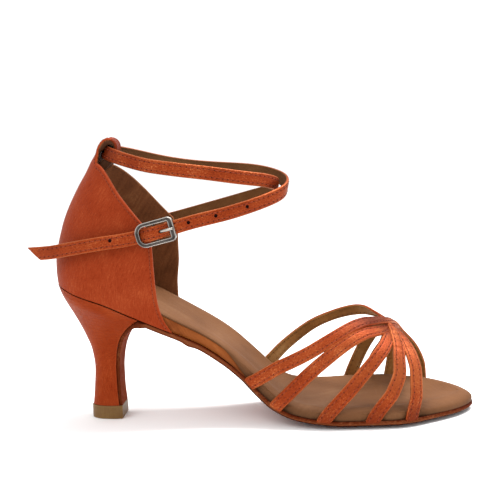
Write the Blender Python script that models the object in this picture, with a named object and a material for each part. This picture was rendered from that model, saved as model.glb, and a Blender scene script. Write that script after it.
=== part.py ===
"""Strappy dance sandal for the right foot, standing empty on its heel and ball.

Sizes are millimetres until a mesh is made.  X runs from the back of the heel
to the toe, Y to the inner side of the foot, Z up from the floor.
"""

import math

import bmesh
import bpy
import numpy as np

MM = 0.001

# Middle of the shoe's box on the floor, which becomes the part's origin
ORIGIN = np.array([103.1, 5.7, 0.0])

# Driving dimensions
SOLE_BACK = 3.7
SOLE_TIP = 214.8
OUTSOLE_THICK = 2.4
MIDSOLE_THICK = 3.9
INSOLE_THICK = 1.4
INNER_RIM = 1.1
GAP = 0.3
WELT = 1.9
EDGE_LIFT = 1.0
EDGE_LIFT_FROM = 0.5
EDGE_LIFT_START, EDGE_LIFT_FULL = 55.0, 110.0
WALL = 1.8
STRAP_THICK = 1.5
STRAP_WIDTH = 7.0
TIP_HEIGHT = 7.0
HEEL_ROUND, HEEL_POWER = 26.0, 2.2
TOE_ROUND, TOE_POWER = 42.0, 1.6

# Sole sections: place along the foot, height of the feather line, middle of the outline, half width
# and the padding between midsole board and sock
SOLE_COLUMNS = ("x", "feather", "centre", "half", "pad")
SOLE_ROWS = (
    (0.0, 73.2, 0.0, 25.0, 2.0),
    (7.0, 71.2, 0.0, 25.0, 2.2),
    (14.0, 68.6, 0.0, 25.0, 2.5),
    (27.0, 64.4, 0.0, 25.0, 2.9),
    (43.0, 57.4, 0.4, 25.6, 3.0),
    (56.0, 51.5, 0.7, 24.9, 2.3),
    (68.0, 46.0, 0.8, 23.7, 1.2),
    (78.0, 40.6, 0.5, 22.4, 0.7),
    (88.0, 33.4, 0.3, 22.1, 0.4),
    (98.0, 24.2, 0.3, 22.8, 0.2),
    (106.0, 15.6, 0.4, 24.6, 0.2),
    (114.0, 9.0, 0.7, 27.2, 0.2),
    (124.0, 5.0, 1.5, 31.4, 0.1),
    (136.0, 3.2, 3.1, 35.6, 0.0),
    (148.0, OUTSOLE_THICK, 4.8, 38.0, 0.0),
    (164.0, OUTSOLE_THICK, 6.0, 38.6, 0.0),
    (180.0, OUTSOLE_THICK, 6.9, 38.0, 0.0),
    (195.0, OUTSOLE_THICK, 8.0, 37.0, 0.0),
    (206.0, OUTSOLE_THICK, 7.0, 37.0, 0.0),
    (217.0, OUTSOLE_THICK, 5.5, 37.0, 0.0),
)

# Heel sections from the seat down: front of the breast, flap of the outsole on it, back of the heel
HEEL_COLUMNS = ("breast_x", "breast_z", "flap_thick", "flap_half", "back_x", "back_z", "half")
HEEL_ROWS = (
    (47.0, 51.4, 3.7, 25.4, 1.6, 72.4, 27.1),
    (44.4, 51.0, 2.2, 22.6, 3.3, 67.9, 25.4),
    (41.0, 49.1, 1.6, 18.8, 5.2, 63.6, 21.6),
    (38.0, 46.0, 1.5, 15.2, 8.0, 58.1, 17.6),
    (35.4, 41.9, 1.5, 11.8, 11.1, 51.8, 13.9),
    (33.7, 37.0, 1.5, 9.4, 14.3, 44.6, 11.0),
    (32.8, 31.5, 1.5, 8.0, 17.0, 36.6, 9.0),
    (32.3, 25.0, 1.5, 7.4, 18.1, 27.5, 8.0),
    (32.4, 16.0, 1.5, 7.2, 17.4, 17.0, 7.8),
    (33.0, TIP_HEIGHT + GAP, 1.5, 7.6, 16.3, TIP_HEIGHT + GAP, 8.2),
)
TIP_BACK, TIP_FRONT, TIP_HALF = 15.7, 33.0, 8.4

# Back seam of the quarter, outer face
BACK_COLUMNS = ("z", "x")
BACK_ROWS = (
    (72.0, 1.7),
    (76.0, 1.1),
    (80.0, 0.85),
    (84.0, 0.85),
    (92.0, 2.0),
    (102.0, 4.6),
    (112.0, 8.5),
    (122.0, 13.9),
    (130.0, 18.7),
    (138.0, 23.1),
    (144.0, 26.4),
)

# Front edge of the quarter from the sole up, on each side
FRONT_COLUMNS = ("rise", "lateral", "medial")
FRONT_ROWS = (
    (0.0, 63.6, 63.6),
    (0.14, 59.4, 60.4),
    (0.33, 56.9, 60.0),
    (0.60, 56.0, 61.2),
    (0.85, 55.4, 61.2),
    (1.0, 53.6, 59.2),
)
CORNER_Z = {"lateral": 101.5, "medial": 102.5}
CORNER_HALF = {"lateral": 26.0, "medial": 26.6}
TAB_Z = 134.5
TAB_HALF = 8.5
CUP_BULGE = 1.6
# Bow of the top line above a straight one, and the share of its length from the tab that it takes
TOP_BOW = {"lateral": 2.0, "medial": 3.8}
TOP_REACH = {"lateral": 0.5, "medial": 1.0}

# Folded end of the back tab, along the middle plane
TAB_COLUMNS = ("x", "z", "half")
TAB_ROWS = (
    (24.8, 138.6, 7.2),
    (27.2, 142.4, 6.4),
    (29.4, 145.2, 6.2),
    (32.0, 146.1, 6.2),
    (34.4, 144.8, 6.2),
    (35.2, 141.2, 6.2),
    (33.9, 137.0, 6.2),
    (30.8, 133.6, 6.2),
    (27.0, 131.0, 6.2),
    (23.4, 129.1, 6.2),
)

# Crest of the foot under the vamp straps
CREST_COLUMNS = ("x", "z")
CREST_ROWS = (
    (100.0, 65.0),
    (120.0, 62.0),
    (140.0, 58.4),
    (154.0, 55.4),
    (160.0, 53.0),
    (165.0, 49.8),
    (170.0, 46.6),
    (175.0, 43.6),
    (180.0, 40.8),
    (190.0, 37.2),
    (205.0, 31.5),
)
VAMP_POWER = 2.3

# Vamp straps, outer side to inner side: places along the foot where each strap crosses
STRAP_COLUMNS = ("turn", "first", "second", "third", "fourth", "fifth")
STRAP_ROWS = (
    (0.00, 101.5, 114.5, 138.8, 163.0, 182.2),
    (0.10, 114.4, 129.2, 154.6, 173.5, 185.1),
    (0.20, 134.8, 144.8, 164.6, 177.1, 185.2),
    (0.30, 151.4, 159.4, 170.5, 177.1, 183.4),
    (0.40, 163.8, 169.9, 173.4, 175.4, 179.9),
    (0.50, 172.4, 175.0, 175.0, 171.6, 175.6),
    (0.65, 178.8, 177.2, 175.6, 157.5, 170.6),
    (0.80, 187.8, 177.6, 173.2, 130.6, 164.4),
    (0.90, 191.2, 176.6, 167.6, 115.6, 158.4),
    (1.00, 191.8, 174.4, 160.2, 105.0, 151.2),
)
STRAP_LIFT = {"first": 2.2, "second": 0.3, "third": 0.0, "fourth": 1.3, "fifth": 0.7}
# Turn of a strap about its own length past the knot, in degrees
STRAP_TWIST = {"fourth": -30.0}

# Ankle strap from the inner corner of the quarter to its free tip, with its lean back
ANKLE_COLUMNS = ("x", "y", "z", "lean")
ANKLE_ROWS = (
    (49.0, 28.6, 99.6, 0.0),
    (60.0, 29.4, 102.0, 0.0),
    (74.0, 28.2, 105.5, 0.0),
    (89.6, 24.6, 109.6, 0.0),
    (104.7, 18.0, 113.8, 4.0),
    (114.6, 9.0, 117.2, 8.0),
    (117.2, 0.0, 120.4, 8.0),
    (112.5, -8.0, 123.0, 6.0),
    (104.3, -15.0, 124.8, 3.0),
    (94.3, -20.5, 126.7, 0.0),
    (84.2, -24.0, 128.6, 0.0),
    (73.5, -25.0, 130.2, 0.0),
    (63.1, -23.8, 131.7, 0.0),
    (53.0, -20.4, 133.3, 4.0),
    (43.0, -15.0, 135.7, 12.0),
    (33.2, -8.0, 138.6, 24.0),
    (28.7, 0.0, 140.3, 30.0),
    (33.4, 9.0, 139.2, 24.0),
    (42.0, 14.6, 136.8, 12.0),
    (52.0, 20.0, 133.8, 4.0),
    (67.2, 25.6, 130.4, 0.0),
    (86.2, 26.4, 128.2, 0.0),
    (101.7, 21.8, 127.0, 2.0),
    (114.0, 14.4, 124.8, 6.0),
    (121.4, 6.0, 121.4, 10.0),
    (121.6, -2.6, 117.8, 10.0),
    (114.8, -10.6, 114.2, 6.0),
    (104.0, -17.6, 110.9, 2.0),
    (93.7, -22.2, 108.3, 0.0),
    (82.9, -26.0, 106.2, 0.0),
    (74.6, -29.0, 104.5, 0.0),
    (67.4, -30.4, 102.7, 0.0),
    (64.4, -31.0, 102.0, 0.0),
    (61.4, -32.6, 101.3, 0.0),
    (58.2, -33.6, 100.5, 0.0),
    (55.0, -32.6, 99.7, 0.0),
    (52.0, -31.0, 99.0, 0.0),
    (49.0, -30.5, 98.3, 0.0),
    (42.0, -30.8, 97.0, 0.0),
    (33.0, -30.6, 95.9, 0.0),
    (23.0, -29.0, 94.4, 0.0),
    (13.0, -25.8, 92.6, 0.0),
    (3.0, -21.8, 90.8, 0.0),
    (-6.6, -17.6, 89.8, 0.0),
)
TIP_SLANT = 1.1

# Buckle, in a frame of its own: along the strap, across it and outwards
BUCKLE_PLACE = (58.2, -30.8, 100.5)
BUCKLE_TILT = 13.5
BUCKLE_LONG, BUCKLE_TALL = 19.6, 12.4
RAIL_WIDE = 2.0
RAIL_OUT = 1.9
BAR_RADIUS = 0.9
BAR_OUT = -0.6
BAR_CORNER = 0.8
PRONG_RADIUS = 0.75
BUCKLE_TAB_THICK = 1.1
BUCKLE_TAB_WIDTH = 6.6

# Corners of the buckle frame: start of the turn, sides it lies on, its radius and the rail's extra breadth
CORNER_COLUMNS = ("start", "along", "across", "radius", "broad")
CORNER_ROWS = (
    (0.0, 1, 1, 1.6, 0.35),
    (90.0, -1, 1, 4.0, 0.0),
    (180.0, -1, -1, 4.0, 0.0),
    (270.0, 1, -1, 1.6, 0.35),
)

# Prong beyond its hook: place along the buckle and drop below its rest on the front rail
PRONG_COLUMNS = ("along", "drop")
PRONG_ROWS = (
    (3.4, 1.5),
    (6.0, 0.3),
    (8.4, 0.0),
    (9.6, 0.2),
)

# Finishes: colour, roughness, metallic
FINISHES = {
    "satin": ((0.42, 0.070, 0.022), 0.38, 0.0),
    "suede": ((0.36, 0.17, 0.07), 0.90, 0.0),
    "board": ((0.40, 0.17, 0.06), 0.60, 0.0),
    "sock": ((0.34, 0.19, 0.11), 0.65, 0.0),
    "rubber": ((0.22, 0.13, 0.045), 0.55, 0.0),
    "steel": ((0.55, 0.54, 0.52), 0.25, 1.0),
    "tab": ((0.30, 0.055, 0.020), 0.50, 0.0),
}


# Fineness of the meshes and small details
WELD = 1e-6
SLOPE_STEP = 0.5
ACROSS = np.array([-1.0, -0.75, -EDGE_LIFT_FROM, 0.0, EDGE_LIFT_FROM, 0.75, 1.0])
TOE_STEPS, BODY_STEPS, HEEL_STEPS = 8, 20, 6
FLAP_LEAD = 4.0
RING_STEPS = 8
SEAT_ROUND, STEM_ROUND = 0.55, 0.75
FRONT_TAPER = 0.8
TIP_CHAMFER = 0.5
CUP_COLUMNS, CUP_ROWS = 14, 12
TAB_COLUMN_COUNT, TAB_STEP, TAB_FLAT_STEPS = 3, 3.0, 4
TAB_HOLLOW = 4.0
BOW_PEAK = 27 / 4
BAND_EASE = 0.4
VAMP_STEPS = 28
LIFT_SPREAD = 0.16
TWIST_TURN, TWIST_SPREAD = 0.64, 0.07
STRAP_GATHER, GATHER_SPREAD = 0.3, 0.12
TURN_STEP = 0.02
GATHER_X, GATHER_TURN, GATHER_LIFT = 173.6, 0.48, 0.5
GATHER_SIZE = (6.4, 11.0, 1.9)
CORE_SIDES, CORE_RINGS = 12, 8
STRAP_SINK = 7.0
TRIM_REACH, TRIM_DEPTH = 1.3, 14.0
ANKLE_STEP = 5.5
STRAP_SLOT = ((-2.8, 5.6), (-1.15, 1.15), (-2.0, 5.0))
TAB_SLOT = ((-3.2, 4.0), (-1.15, 1.15), (-4.0, 3.0))
ROD_SIDES = 8
NEARLY_ALONG = 0.9
CORNER_STEPS = 4
HOOK_STEPS = 10
PRONG_START, PRONG_LEAVE = 320.0, 75.0
TAB_TAIL = 9.5
TAB_CLOSE = 150.0
FOLD_STEPS = 10


def column(rows, columns, name):
    """One named column of a table as an array."""
    place = columns.index(name)
    return np.array([row[place] for row in rows], dtype=float)


def slopes(xs, ys):
    """Slopes of a curve through a table that neither overshoots nor ripples."""
    steps = np.diff(xs)
    rates = np.diff(ys) / steps
    found = np.zeros(len(xs))
    for i in range(1, len(xs) - 1):
        if rates[i - 1] * rates[i] > 0:
            before = 2 * steps[i] + steps[i - 1]
            after = steps[i] + 2 * steps[i - 1]
            found[i] = (before + after) / (before / rates[i - 1] + after / rates[i])
    found[0], found[-1] = rates[0], rates[-1]
    return found


def smooth(at, xs, ys):
    """Smooth curve through a table, read at one place or many."""
    at = np.clip(np.asarray(at, dtype=float), xs[0], xs[-1])
    m = slopes(xs, ys)
    i = np.clip(np.searchsorted(xs, at, side="right") - 1, 0, len(xs) - 2)
    h = xs[i + 1] - xs[i]
    t = (at - xs[i]) / h
    start = (1 + 2 * t) * (1 - t) ** 2 * ys[i] + t * (1 - t) ** 2 * h * m[i]
    end = t * t * (3 - 2 * t) * ys[i + 1] + t * t * (t - 1) * h * m[i + 1]
    return start + end


def spline(points, step):
    """Points on a natural cubic curve through given points, at these and between them."""
    points = np.asarray(points, dtype=float)
    knots = np.concatenate([[0.0], np.cumsum(np.linalg.norm(np.diff(points, axis=0)[:, :3], axis=1))])
    size = len(points)
    h = np.diff(knots)
    a = np.eye(size)
    b = np.zeros_like(points)
    for i in range(1, size - 1):
        a[i, i - 1:i + 2] = h[i - 1], 2 * (h[i - 1] + h[i]), h[i]
        b[i] = 6 * ((points[i + 1] - points[i]) / h[i] - (points[i] - points[i - 1]) / h[i - 1])
    bend = np.linalg.solve(a, b)
    counts = np.ceil(h / step).astype(int) + 1
    spans = [np.linspace(knots[k], knots[k + 1], counts[k])[:-1] for k in range(size - 1)]
    at = np.concatenate(spans + [knots[-1:]])
    i = np.clip(np.searchsorted(knots, at, side="right") - 1, 0, size - 2)
    left = ((knots[i + 1] - at) / h[i])[:, None]
    right = ((at - knots[i]) / h[i])[:, None]
    gap = (h[i] ** 2 / 6.0)[:, None]
    straight = left * points[i] + right * points[i + 1]
    return straight + gap * ((left ** 3 - left) * bend[i] + (right ** 3 - right) * bend[i + 1])


def unit(vectors):
    """Vectors scaled to length one."""
    vectors = np.asarray(vectors, dtype=float)
    return vectors / np.linalg.norm(vectors, axis=-1, keepdims=True)


def read_table(at, rows, columns, along, name):
    """Smooth reading of one column of a table against another."""
    return smooth(at, column(rows, columns, along), column(rows, columns, name))


SOLE_X = column(SOLE_ROWS, SOLE_COLUMNS, "x")
FEATHER = column(SOLE_ROWS, SOLE_COLUMNS, "feather")
CENTRE = column(SOLE_ROWS, SOLE_COLUMNS, "centre")
HALF = column(SOLE_ROWS, SOLE_COLUMNS, "half")
PAD = column(SOLE_ROWS, SOLE_COLUMNS, "pad")


def end_round(distance, length, power):
    """Share of the full width left near a rounded end."""
    t = np.clip(distance / length, 0.0, 1.0)
    return (1 - (1 - t) ** power) ** (1 / power)


def end_share(x, margin):
    """Share of the sole's full width at a place along the foot, less at its rounded ends."""
    heel = end_round(x - SOLE_BACK + margin, HEEL_ROUND, HEEL_POWER)
    return heel * end_round(SOLE_TIP + margin - x, TOE_ROUND, TOE_POWER)


def outline(x, margin=0.0):
    """Middle and half width of the sole at a place along the foot."""
    full = smooth(x, SOLE_X, HALF) + margin
    return smooth(x, SOLE_X, CENTRE), full * end_share(x, margin)


def feather(x):
    """Height of the feather line on the middle of the sole."""
    return smooth(x, SOLE_X, FEATHER)


def sole_normal(x):
    """Upward normal of the feather line in the X Z plane."""
    rise = (feather(x + SLOPE_STEP) - feather(x - SLOPE_STEP)) / (2 * SLOPE_STEP)
    return unit(np.stack([-rise, np.ones_like(rise)], axis=-1))


def edge_lift(x, t):
    """Lift of the sole's edge above its middle, nothing under the heel."""
    ramp = np.clip((x - EDGE_LIFT_START) / (EDGE_LIFT_FULL - EDGE_LIFT_START), 0.0, 1.0)
    side = np.clip((np.abs(t) - EDGE_LIFT_FROM) / (1 - EDGE_LIFT_FROM), 0.0, 1.0)
    return EDGE_LIFT * ramp * ramp * (3 - 2 * ramp) * side ** 2


def sole_point(x, t, level, margin=0.0):
    """Point on a layer of the sole: x along, t across from -1 to 1, level above the feather."""
    centre, half = outline(x, margin)
    normal = sole_normal(x)
    up = level + edge_lift(x, 1 - (1 - np.abs(t)) * end_share(x, margin))
    along, height = x + normal[..., 0] * up, feather(x) + normal[..., 1] * up
    return np.stack([along, centre + t * half, height], axis=-1)


def padding(x, t):
    """Padding under the sock, thick at the heel, with a low rim along the inner edge."""
    return smooth(x, SOLE_X, PAD) + INNER_RIM * np.clip(t, 0.0, 1.0) ** 2 * end_share(x, 0.0)


def finish(name):
    """Principled material of a finish."""
    material = bpy.data.materials.new(name)
    material.use_nodes = True
    shader = material.node_tree.nodes["Principled BSDF"]
    colour, roughness, metallic = FINISHES[name]
    shader.inputs["Base Color"].default_value = (*colour, 1.0)
    shader.inputs["Roughness"].default_value = roughness
    shader.inputs["Metallic"].default_value = metallic
    material.diffuse_color = (*colour, 1.0)
    return material


def solid(name, points, faces, material):
    """Closed mesh object from points in millimetres, with its doubles merged."""
    mesh = bpy.data.meshes.new(name)
    mesh.from_pydata([tuple((p - ORIGIN) * MM) for p in points], [], faces)
    work = bmesh.new()
    work.from_mesh(mesh)
    bmesh.ops.remove_doubles(work, verts=work.verts, dist=WELD)
    bmesh.ops.dissolve_degenerate(work, dist=WELD / 10, edges=work.edges)
    bmesh.ops.recalc_face_normals(work, faces=work.faces)
    work.to_mesh(mesh)
    work.free()
    made = bpy.data.objects.new(name, mesh)
    made.data.materials.append(material)
    bpy.context.scene.collection.objects.link(made)
    return made


def grid_faces(rows, columns, start=0):
    """Quads of a grid of points laid row by row."""
    return [
        (start + i * columns + j, start + i * columns + j + 1,
         start + (i + 1) * columns + j + 1, start + (i + 1) * columns + j)
        for i in range(rows - 1) for j in range(columns - 1)
    ]


def slab(name, top, bottom, material):
    """Solid between two grids of points with the same rows and columns."""
    rows, columns = top.shape[:2]
    points = np.concatenate([top.reshape(-1, 3), bottom.reshape(-1, 3)])
    low = rows * columns
    faces = grid_faces(rows, columns) + grid_faces(rows, columns, low)
    rim = [i * columns for i in range(rows)]
    rim += [(rows - 1) * columns + j for j in range(1, columns)]
    rim += [i * columns + columns - 1 for i in range(rows - 2, -1, -1)]
    rim += [j for j in range(columns - 2, 0, -1)]
    for here, there in zip(rim, rim[1:] + rim[:1]):
        faces.append((here, there, there + low, here + low))
    return solid(name, points, faces, material)


def sole_stations(margin, back):
    """Places along the sole from a rounded toe back to a given place, or to a rounded heel."""
    quarter_turn = np.linspace(0.0, math.pi / 2, TOE_STEPS + 1)
    toe = SOLE_TIP + margin - TOE_ROUND * (1 - np.cos(quarter_turn))
    if back is not None:
        return np.concatenate([toe, np.linspace(toe[-1], back, BODY_STEPS + 1)[1:]])
    quarter_turn = np.linspace(math.pi / 2, 0.0, HEEL_STEPS + 1)
    heel = SOLE_BACK - margin + HEEL_ROUND * (1 - np.cos(quarter_turn))
    return np.concatenate([toe, np.linspace(toe[-1], heel[0], BODY_STEPS + 1)[1:], heel[1:]])


def layer(name, low, high, on_padding, material):
    """A layer of the sole between two levels, with the padding in it or, if it lies on that, under it."""
    x = sole_stations(0.0, None)[:, None]
    across = ACROSS[None, :]
    raised = padding(x, across)
    top = sole_point(x, across, high + raised)
    bottom = sole_point(x, across, low + raised * on_padding)
    return slab(name, top, bottom, material)


def heel_sections():
    """Heel table read finely: path of the breast, its inward normal and the other columns."""
    places = np.arange(len(HEEL_ROWS), dtype=float)
    fine = np.linspace(0.0, places[-1], 2 * len(HEEL_ROWS) - 1)
    read = {c: smooth(fine, places, column(HEEL_ROWS, HEEL_COLUMNS, c)) for c in HEEL_COLUMNS}
    path = np.stack([read["breast_x"], read["breast_z"]], axis=-1)
    run = unit(np.gradient(path, axis=0))
    read["path"] = path
    read["inward"] = np.stack([run[:, 1], -run[:, 0]], axis=-1)
    return read


def outsole():
    """Suede sole with its tail turned down the breast of the heel."""
    x = sole_stations(WELT, HEEL_ROWS[0][0] + FLAP_LEAD)[:, None]
    top = sole_point(x, ACROSS[None, :], 0.0, WELT)
    bottom = sole_point(x, ACROSS[None, :], -OUTSOLE_THICK, WELT)
    read = heel_sections()
    back = read["path"] + read["inward"] * read["flap_thick"][:, None]
    spread = read["flap_half"][:, None] * ACROSS[None, :]
    rows = [
        np.stack([np.broadcast_to(face[:, :1], spread.shape), spread,
                  np.broadcast_to(face[:, 1:], spread.shape)], axis=-1)
        for face in (back, read["path"])
    ]
    top, bottom = np.concatenate([top, rows[0]]), np.concatenate([bottom, rows[1]])
    return slab("outsole", top, bottom, finish("suede"))


def half_ring(depth, rounded):
    """Half width of a heel section as a share, from its round back to its flat front."""
    taper = 1 - FRONT_TAPER * np.clip(depth - rounded, 0, 1) ** 2
    return end_round(depth, rounded, HEEL_POWER) * taper


def ring_depths():
    """Places from the back of a heel section to its front, close together at the back."""
    return 1 - np.cos(np.linspace(0.0, math.pi / 2, RING_STEPS + 1))


def ring_solid(name, rings, material):
    """Solid through rings given from the middle of the back to a corner of the flat front, mirrored."""
    rings = np.asarray(rings)
    right = rings * np.array([1.0, -1.0, 1.0])
    loop = np.concatenate([rings[:, ::-1], right[:, 1:]], axis=1)
    rows, columns = loop.shape[:2]
    faces = [
        (i * columns + j, i * columns + (j + 1) % columns,
         (i + 1) * columns + (j + 1) % columns, (i + 1) * columns + j)
        for i in range(rows - 1) for j in range(columns)
    ]
    for start in (0, (rows - 1) * columns):
        for j in range(RING_STEPS):
            faces.append((start + j, start + j + 1, start + columns - 2 - j, start + columns - 1 - j))
    return solid(name, loop.reshape(-1, 3), faces, material)


def heel():
    """Flared heel under the seat, its front face behind the outsole's tail."""
    read = heel_sections()
    front = read["path"] + read["inward"] * (read["flap_thick"] + GAP)[:, None]
    depth = ring_depths()
    rings = []
    for i in range(len(front)):
        down = i / (len(front) - 1)
        x = read["back_x"][i] + (front[i, 0] - read["back_x"][i]) * depth
        z = read["back_z"][i] + (front[i, 1] - read["back_z"][i]) * depth
        y = read["half"][i] * half_ring(depth, SEAT_ROUND + (STEM_ROUND - SEAT_ROUND) * down)
        if i == 0:
            y = outline(x, WALL + GAP)[1]
            z = feather(x) - GAP / 2
        rings.append(np.stack([x, y, z], axis=-1))
    return ring_solid("heel", rings, finish("satin"))


def heel_tip():
    """D shaped top piece with a small chamfer where it meets the floor."""
    depth = ring_depths()
    rings = []
    for z, inset in ((0.0, TIP_CHAMFER), (TIP_CHAMFER, 0.0), (TIP_HEIGHT, 0.0)):
        x = TIP_BACK + inset + (TIP_FRONT - TIP_BACK - 2 * inset) * depth
        y = (TIP_HALF - inset) * half_ring(depth, STEM_ROUND)
        rings.append(np.stack([x, y, np.full_like(x, z)], axis=-1))
    return ring_solid("heel_tip", rings, finish("rubber"))


def cup_half(side):
    """One half of the quarter's middle surface, from the back seam to the front edge."""
    sign = 1.0 if side == "medial" else -1.0
    share = np.arange(CUP_COLUMNS + 1) / CUP_COLUMNS
    rise = np.linspace(0.0, 1.0, CUP_ROWS + 1)
    margin = GAP + WALL / 2
    back_x = SOLE_BACK - margin
    front_x = read_table(rise, FRONT_ROWS, FRONT_COLUMNS, "rise", side)
    low_x = back_x + (front_x[0] - back_x) * (1 - np.cos(share * math.pi / 2))
    centre, half = outline(low_x, margin)
    low_z = feather(low_x) + GAP + edge_lift(low_x, 1.0)
    low_y = sign * centre + half
    seam_z = np.linspace(low_z[0], TAB_Z, CUP_ROWS + 1)
    seam_x = read_table(seam_z, BACK_ROWS, BACK_COLUMNS, "z", "x") + WALL / 2
    edge_z = np.linspace(low_z[-1], CORNER_Z[side], CUP_ROWS + 1)
    tab_share = TAB_COLUMN_COUNT / CUP_COLUMNS
    on_tab = np.clip(share / tab_share, 0.0, 1.0)
    along = np.clip((share - tab_share) / (1 - tab_share), 0.0, 1.0)
    tab_x = seam_x[-1] + TAB_HOLLOW * on_tab ** 2
    high_x = tab_x + (front_x[-1] - tab_x[-1]) * along
    near = np.clip(along / TOP_REACH[side], 0.0, 1.0)
    high_z = TAB_Z + (CORNER_Z[side] - TAB_Z) * along + TOP_BOW[side] * BOW_PEAK * near * (1 - near) ** 2
    high_y = TAB_HALF * on_tab + (CORNER_HALF[side] - TAB_HALF) * np.sin(along * math.pi / 2)
    u, v = share[None, :], rise[:, None]
    sheet = []
    for low, high, seam, edge in ((low_x, high_x, seam_x, front_x), (low_z, high_z, seam_z, edge_z)):
        corners = (1 - u) * ((1 - v) * low[0] + v * high[0]) + u * ((1 - v) * low[-1] + v * high[-1])
        sheet.append((1 - v) * low + v * high + (1 - u) * seam[:, None] + u * edge[:, None] - corners)
    bulge = CUP_BULGE * np.sin(math.pi * v) * np.sin(u * math.pi / 2)
    y = sign * ((1 - v) * low_y + v * high_y + bulge)
    return np.stack([sheet[0], y, sheet[1]], axis=-1)


def thicken(name, points, quads, wall, material):
    """Solid wall of even thickness about a sheet of quads."""
    points = np.asarray(points)
    normals = np.zeros_like(points)
    edges = {}
    for quad in quads:
        a, b, c, d = (points[k] for k in quad)
        face = np.cross(c - a, d - b)
        for here, there in zip(quad, quad[1:] + quad[:1]):
            normals[here] += face
            edges[(here, there)] = True
    normals = unit(normals)
    count = len(points)
    layers = np.concatenate([points + normals * wall / 2, points - normals * wall / 2])
    faces = list(quads) + [tuple(k + count for k in reversed(quad)) for quad in quads]
    for here, there in edges:
        if (there, here) not in edges:
            faces.append((there, here, here + count, there + count))
    return solid(name, layers, faces, material)


def quarter():
    """Heel cup: both sides, and the back tab folded over into a loop."""
    lateral, medial = cup_half("lateral"), cup_half("medial")
    cup = np.concatenate([lateral[:, ::-1], medial[:, 1:]], axis=1)
    rows, columns = cup.shape[:2]
    points = list(cup.reshape(-1, 3))
    quads = grid_faces(rows, columns)
    middle = columns // 2
    path = spline(np.concatenate([[[cup[-1, middle, 0], TAB_Z, TAB_HALF]], TAB_ROWS]), TAB_STEP)
    strip = list(range(middle - TAB_COLUMN_COUNT, middle + TAB_COLUMN_COUNT + 1))
    below = [(rows - 1) * columns + j for j in strip]
    hollow = cup[-1, strip, 0] - cup[-1, middle, 0]
    spread = np.linspace(-1.0, 1.0, len(strip))
    for step, (x, z, half) in enumerate(path[1:], start=1):
        fade = max(0.0, 1 - step / TAB_FLAT_STEPS)
        start = len(points)
        points.extend(np.stack([x + hollow * fade, spread * half, np.full(len(strip), z)], axis=-1))
        above = list(range(start, start + len(strip)))
        quads += [(below[k], below[k + 1], above[k + 1], above[k]) for k in range(len(strip) - 1)]
        below = above
    return thicken("quarter", points, quads, WALL, finish("satin"))


def band_section(width, thick):
    """Cross section of a band: across it and outwards, with eased outer edges."""
    side, out = width / 2, thick / 2
    top_side, low_out = side - BAND_EASE, out - BAND_EASE
    return ((-side, -out), (side, -out), (side, low_out), (top_side, out), (-top_side, out), (-side, low_out))


def sweep(name, section, path, across, outward, material, slant=0.0):
    """Solid that carries a section along a path, its last end cut on a slant."""
    run = unit(np.gradient(path, axis=0))
    points = []
    for i, middle in enumerate(path):
        lean = slant if i == len(path) - 1 else 0.0
        points += [middle + across[i] * s + outward[i] * o + run[i] * s * lean for s, o in section]
    size, last = len(section), len(path) - 1
    faces = [
        (i * size + k, i * size + (k + 1) % size, (i + 1) * size + (k + 1) % size, (i + 1) * size + k)
        for i in range(last) for k in range(size)
    ]
    faces.append(tuple(range(size)))
    faces.append(tuple(last * size + k for k in range(size)))
    return solid(name, points, faces, material)


def vamp_point(x, turn):
    """Place of a strap's middle on the forefoot: x along, turn from the outer to the inner side."""
    centre, half = outline(x, GAP + STRAP_THICK / 2)
    base = feather(x) + edge_lift(x, 1.0) + GAP
    crest = read_table(x, CREST_ROWS, CREST_COLUMNS, "x", "z")
    c, s = -np.cos(math.pi * turn), np.sin(math.pi * turn)
    y = centre + half * np.sign(c) * np.abs(c) ** (2 / VAMP_POWER)
    z = base + (crest - base) * np.abs(s) ** (2 / VAMP_POWER)
    return np.stack([x, y, z], axis=-1)


def vamp_strap(name, material):
    """One strap over the forefoot, lifted over those it crosses, its ends carried past the sole."""
    turn = np.linspace(0.0, 1.0, VAMP_STEPS + 1)
    x = read_table(turn, STRAP_ROWS, STRAP_COLUMNS, "turn", name)
    path = vamp_point(x, turn)
    inner = np.clip(turn, TURN_STEP, 1 - TURN_STEP)
    along = vamp_point(x + SLOPE_STEP, inner) - vamp_point(x - SLOPE_STEP, inner)
    around = vamp_point(x, inner + TURN_STEP / 2) - vamp_point(x, inner - TURN_STEP / 2)
    outward = unit(np.cross(along, around))
    lift = STRAP_LIFT[name] * np.exp(-((turn - 0.5) / LIFT_SPREAD) ** 2)
    path = path + outward * lift[:, None]
    first = path[:1] + STRAP_SINK * unit(path[:1] - path[1:2])
    last = path[-1:] + STRAP_SINK * unit(path[-1:] - path[-2:-1])
    path = np.concatenate([first, path, last])
    outward = np.concatenate([outward[:1], outward, outward[-1:]])
    run = unit(np.gradient(path, axis=0))
    across = unit(np.cross(outward, run))
    outward = unit(np.cross(run, across))
    twist = math.radians(STRAP_TWIST.get(name, 0.0)) * np.exp(-((turn - TWIST_TURN) / TWIST_SPREAD) ** 2)
    twist = np.concatenate([twist[:1], twist, twist[-1:]])[:, None]
    turned = across * np.cos(twist) - outward * np.sin(twist)
    outward = outward * np.cos(twist) + across * np.sin(twist)
    gather = 1 - STRAP_GATHER * np.exp(-((turn - 0.5) / GATHER_SPREAD) ** 2)
    gather = np.concatenate([gather[:1], gather, gather[-1:]])
    across = turned * gather[:, None]
    return sweep(name, band_section(STRAP_WIDTH, STRAP_THICK), path, across, outward, material)


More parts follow.
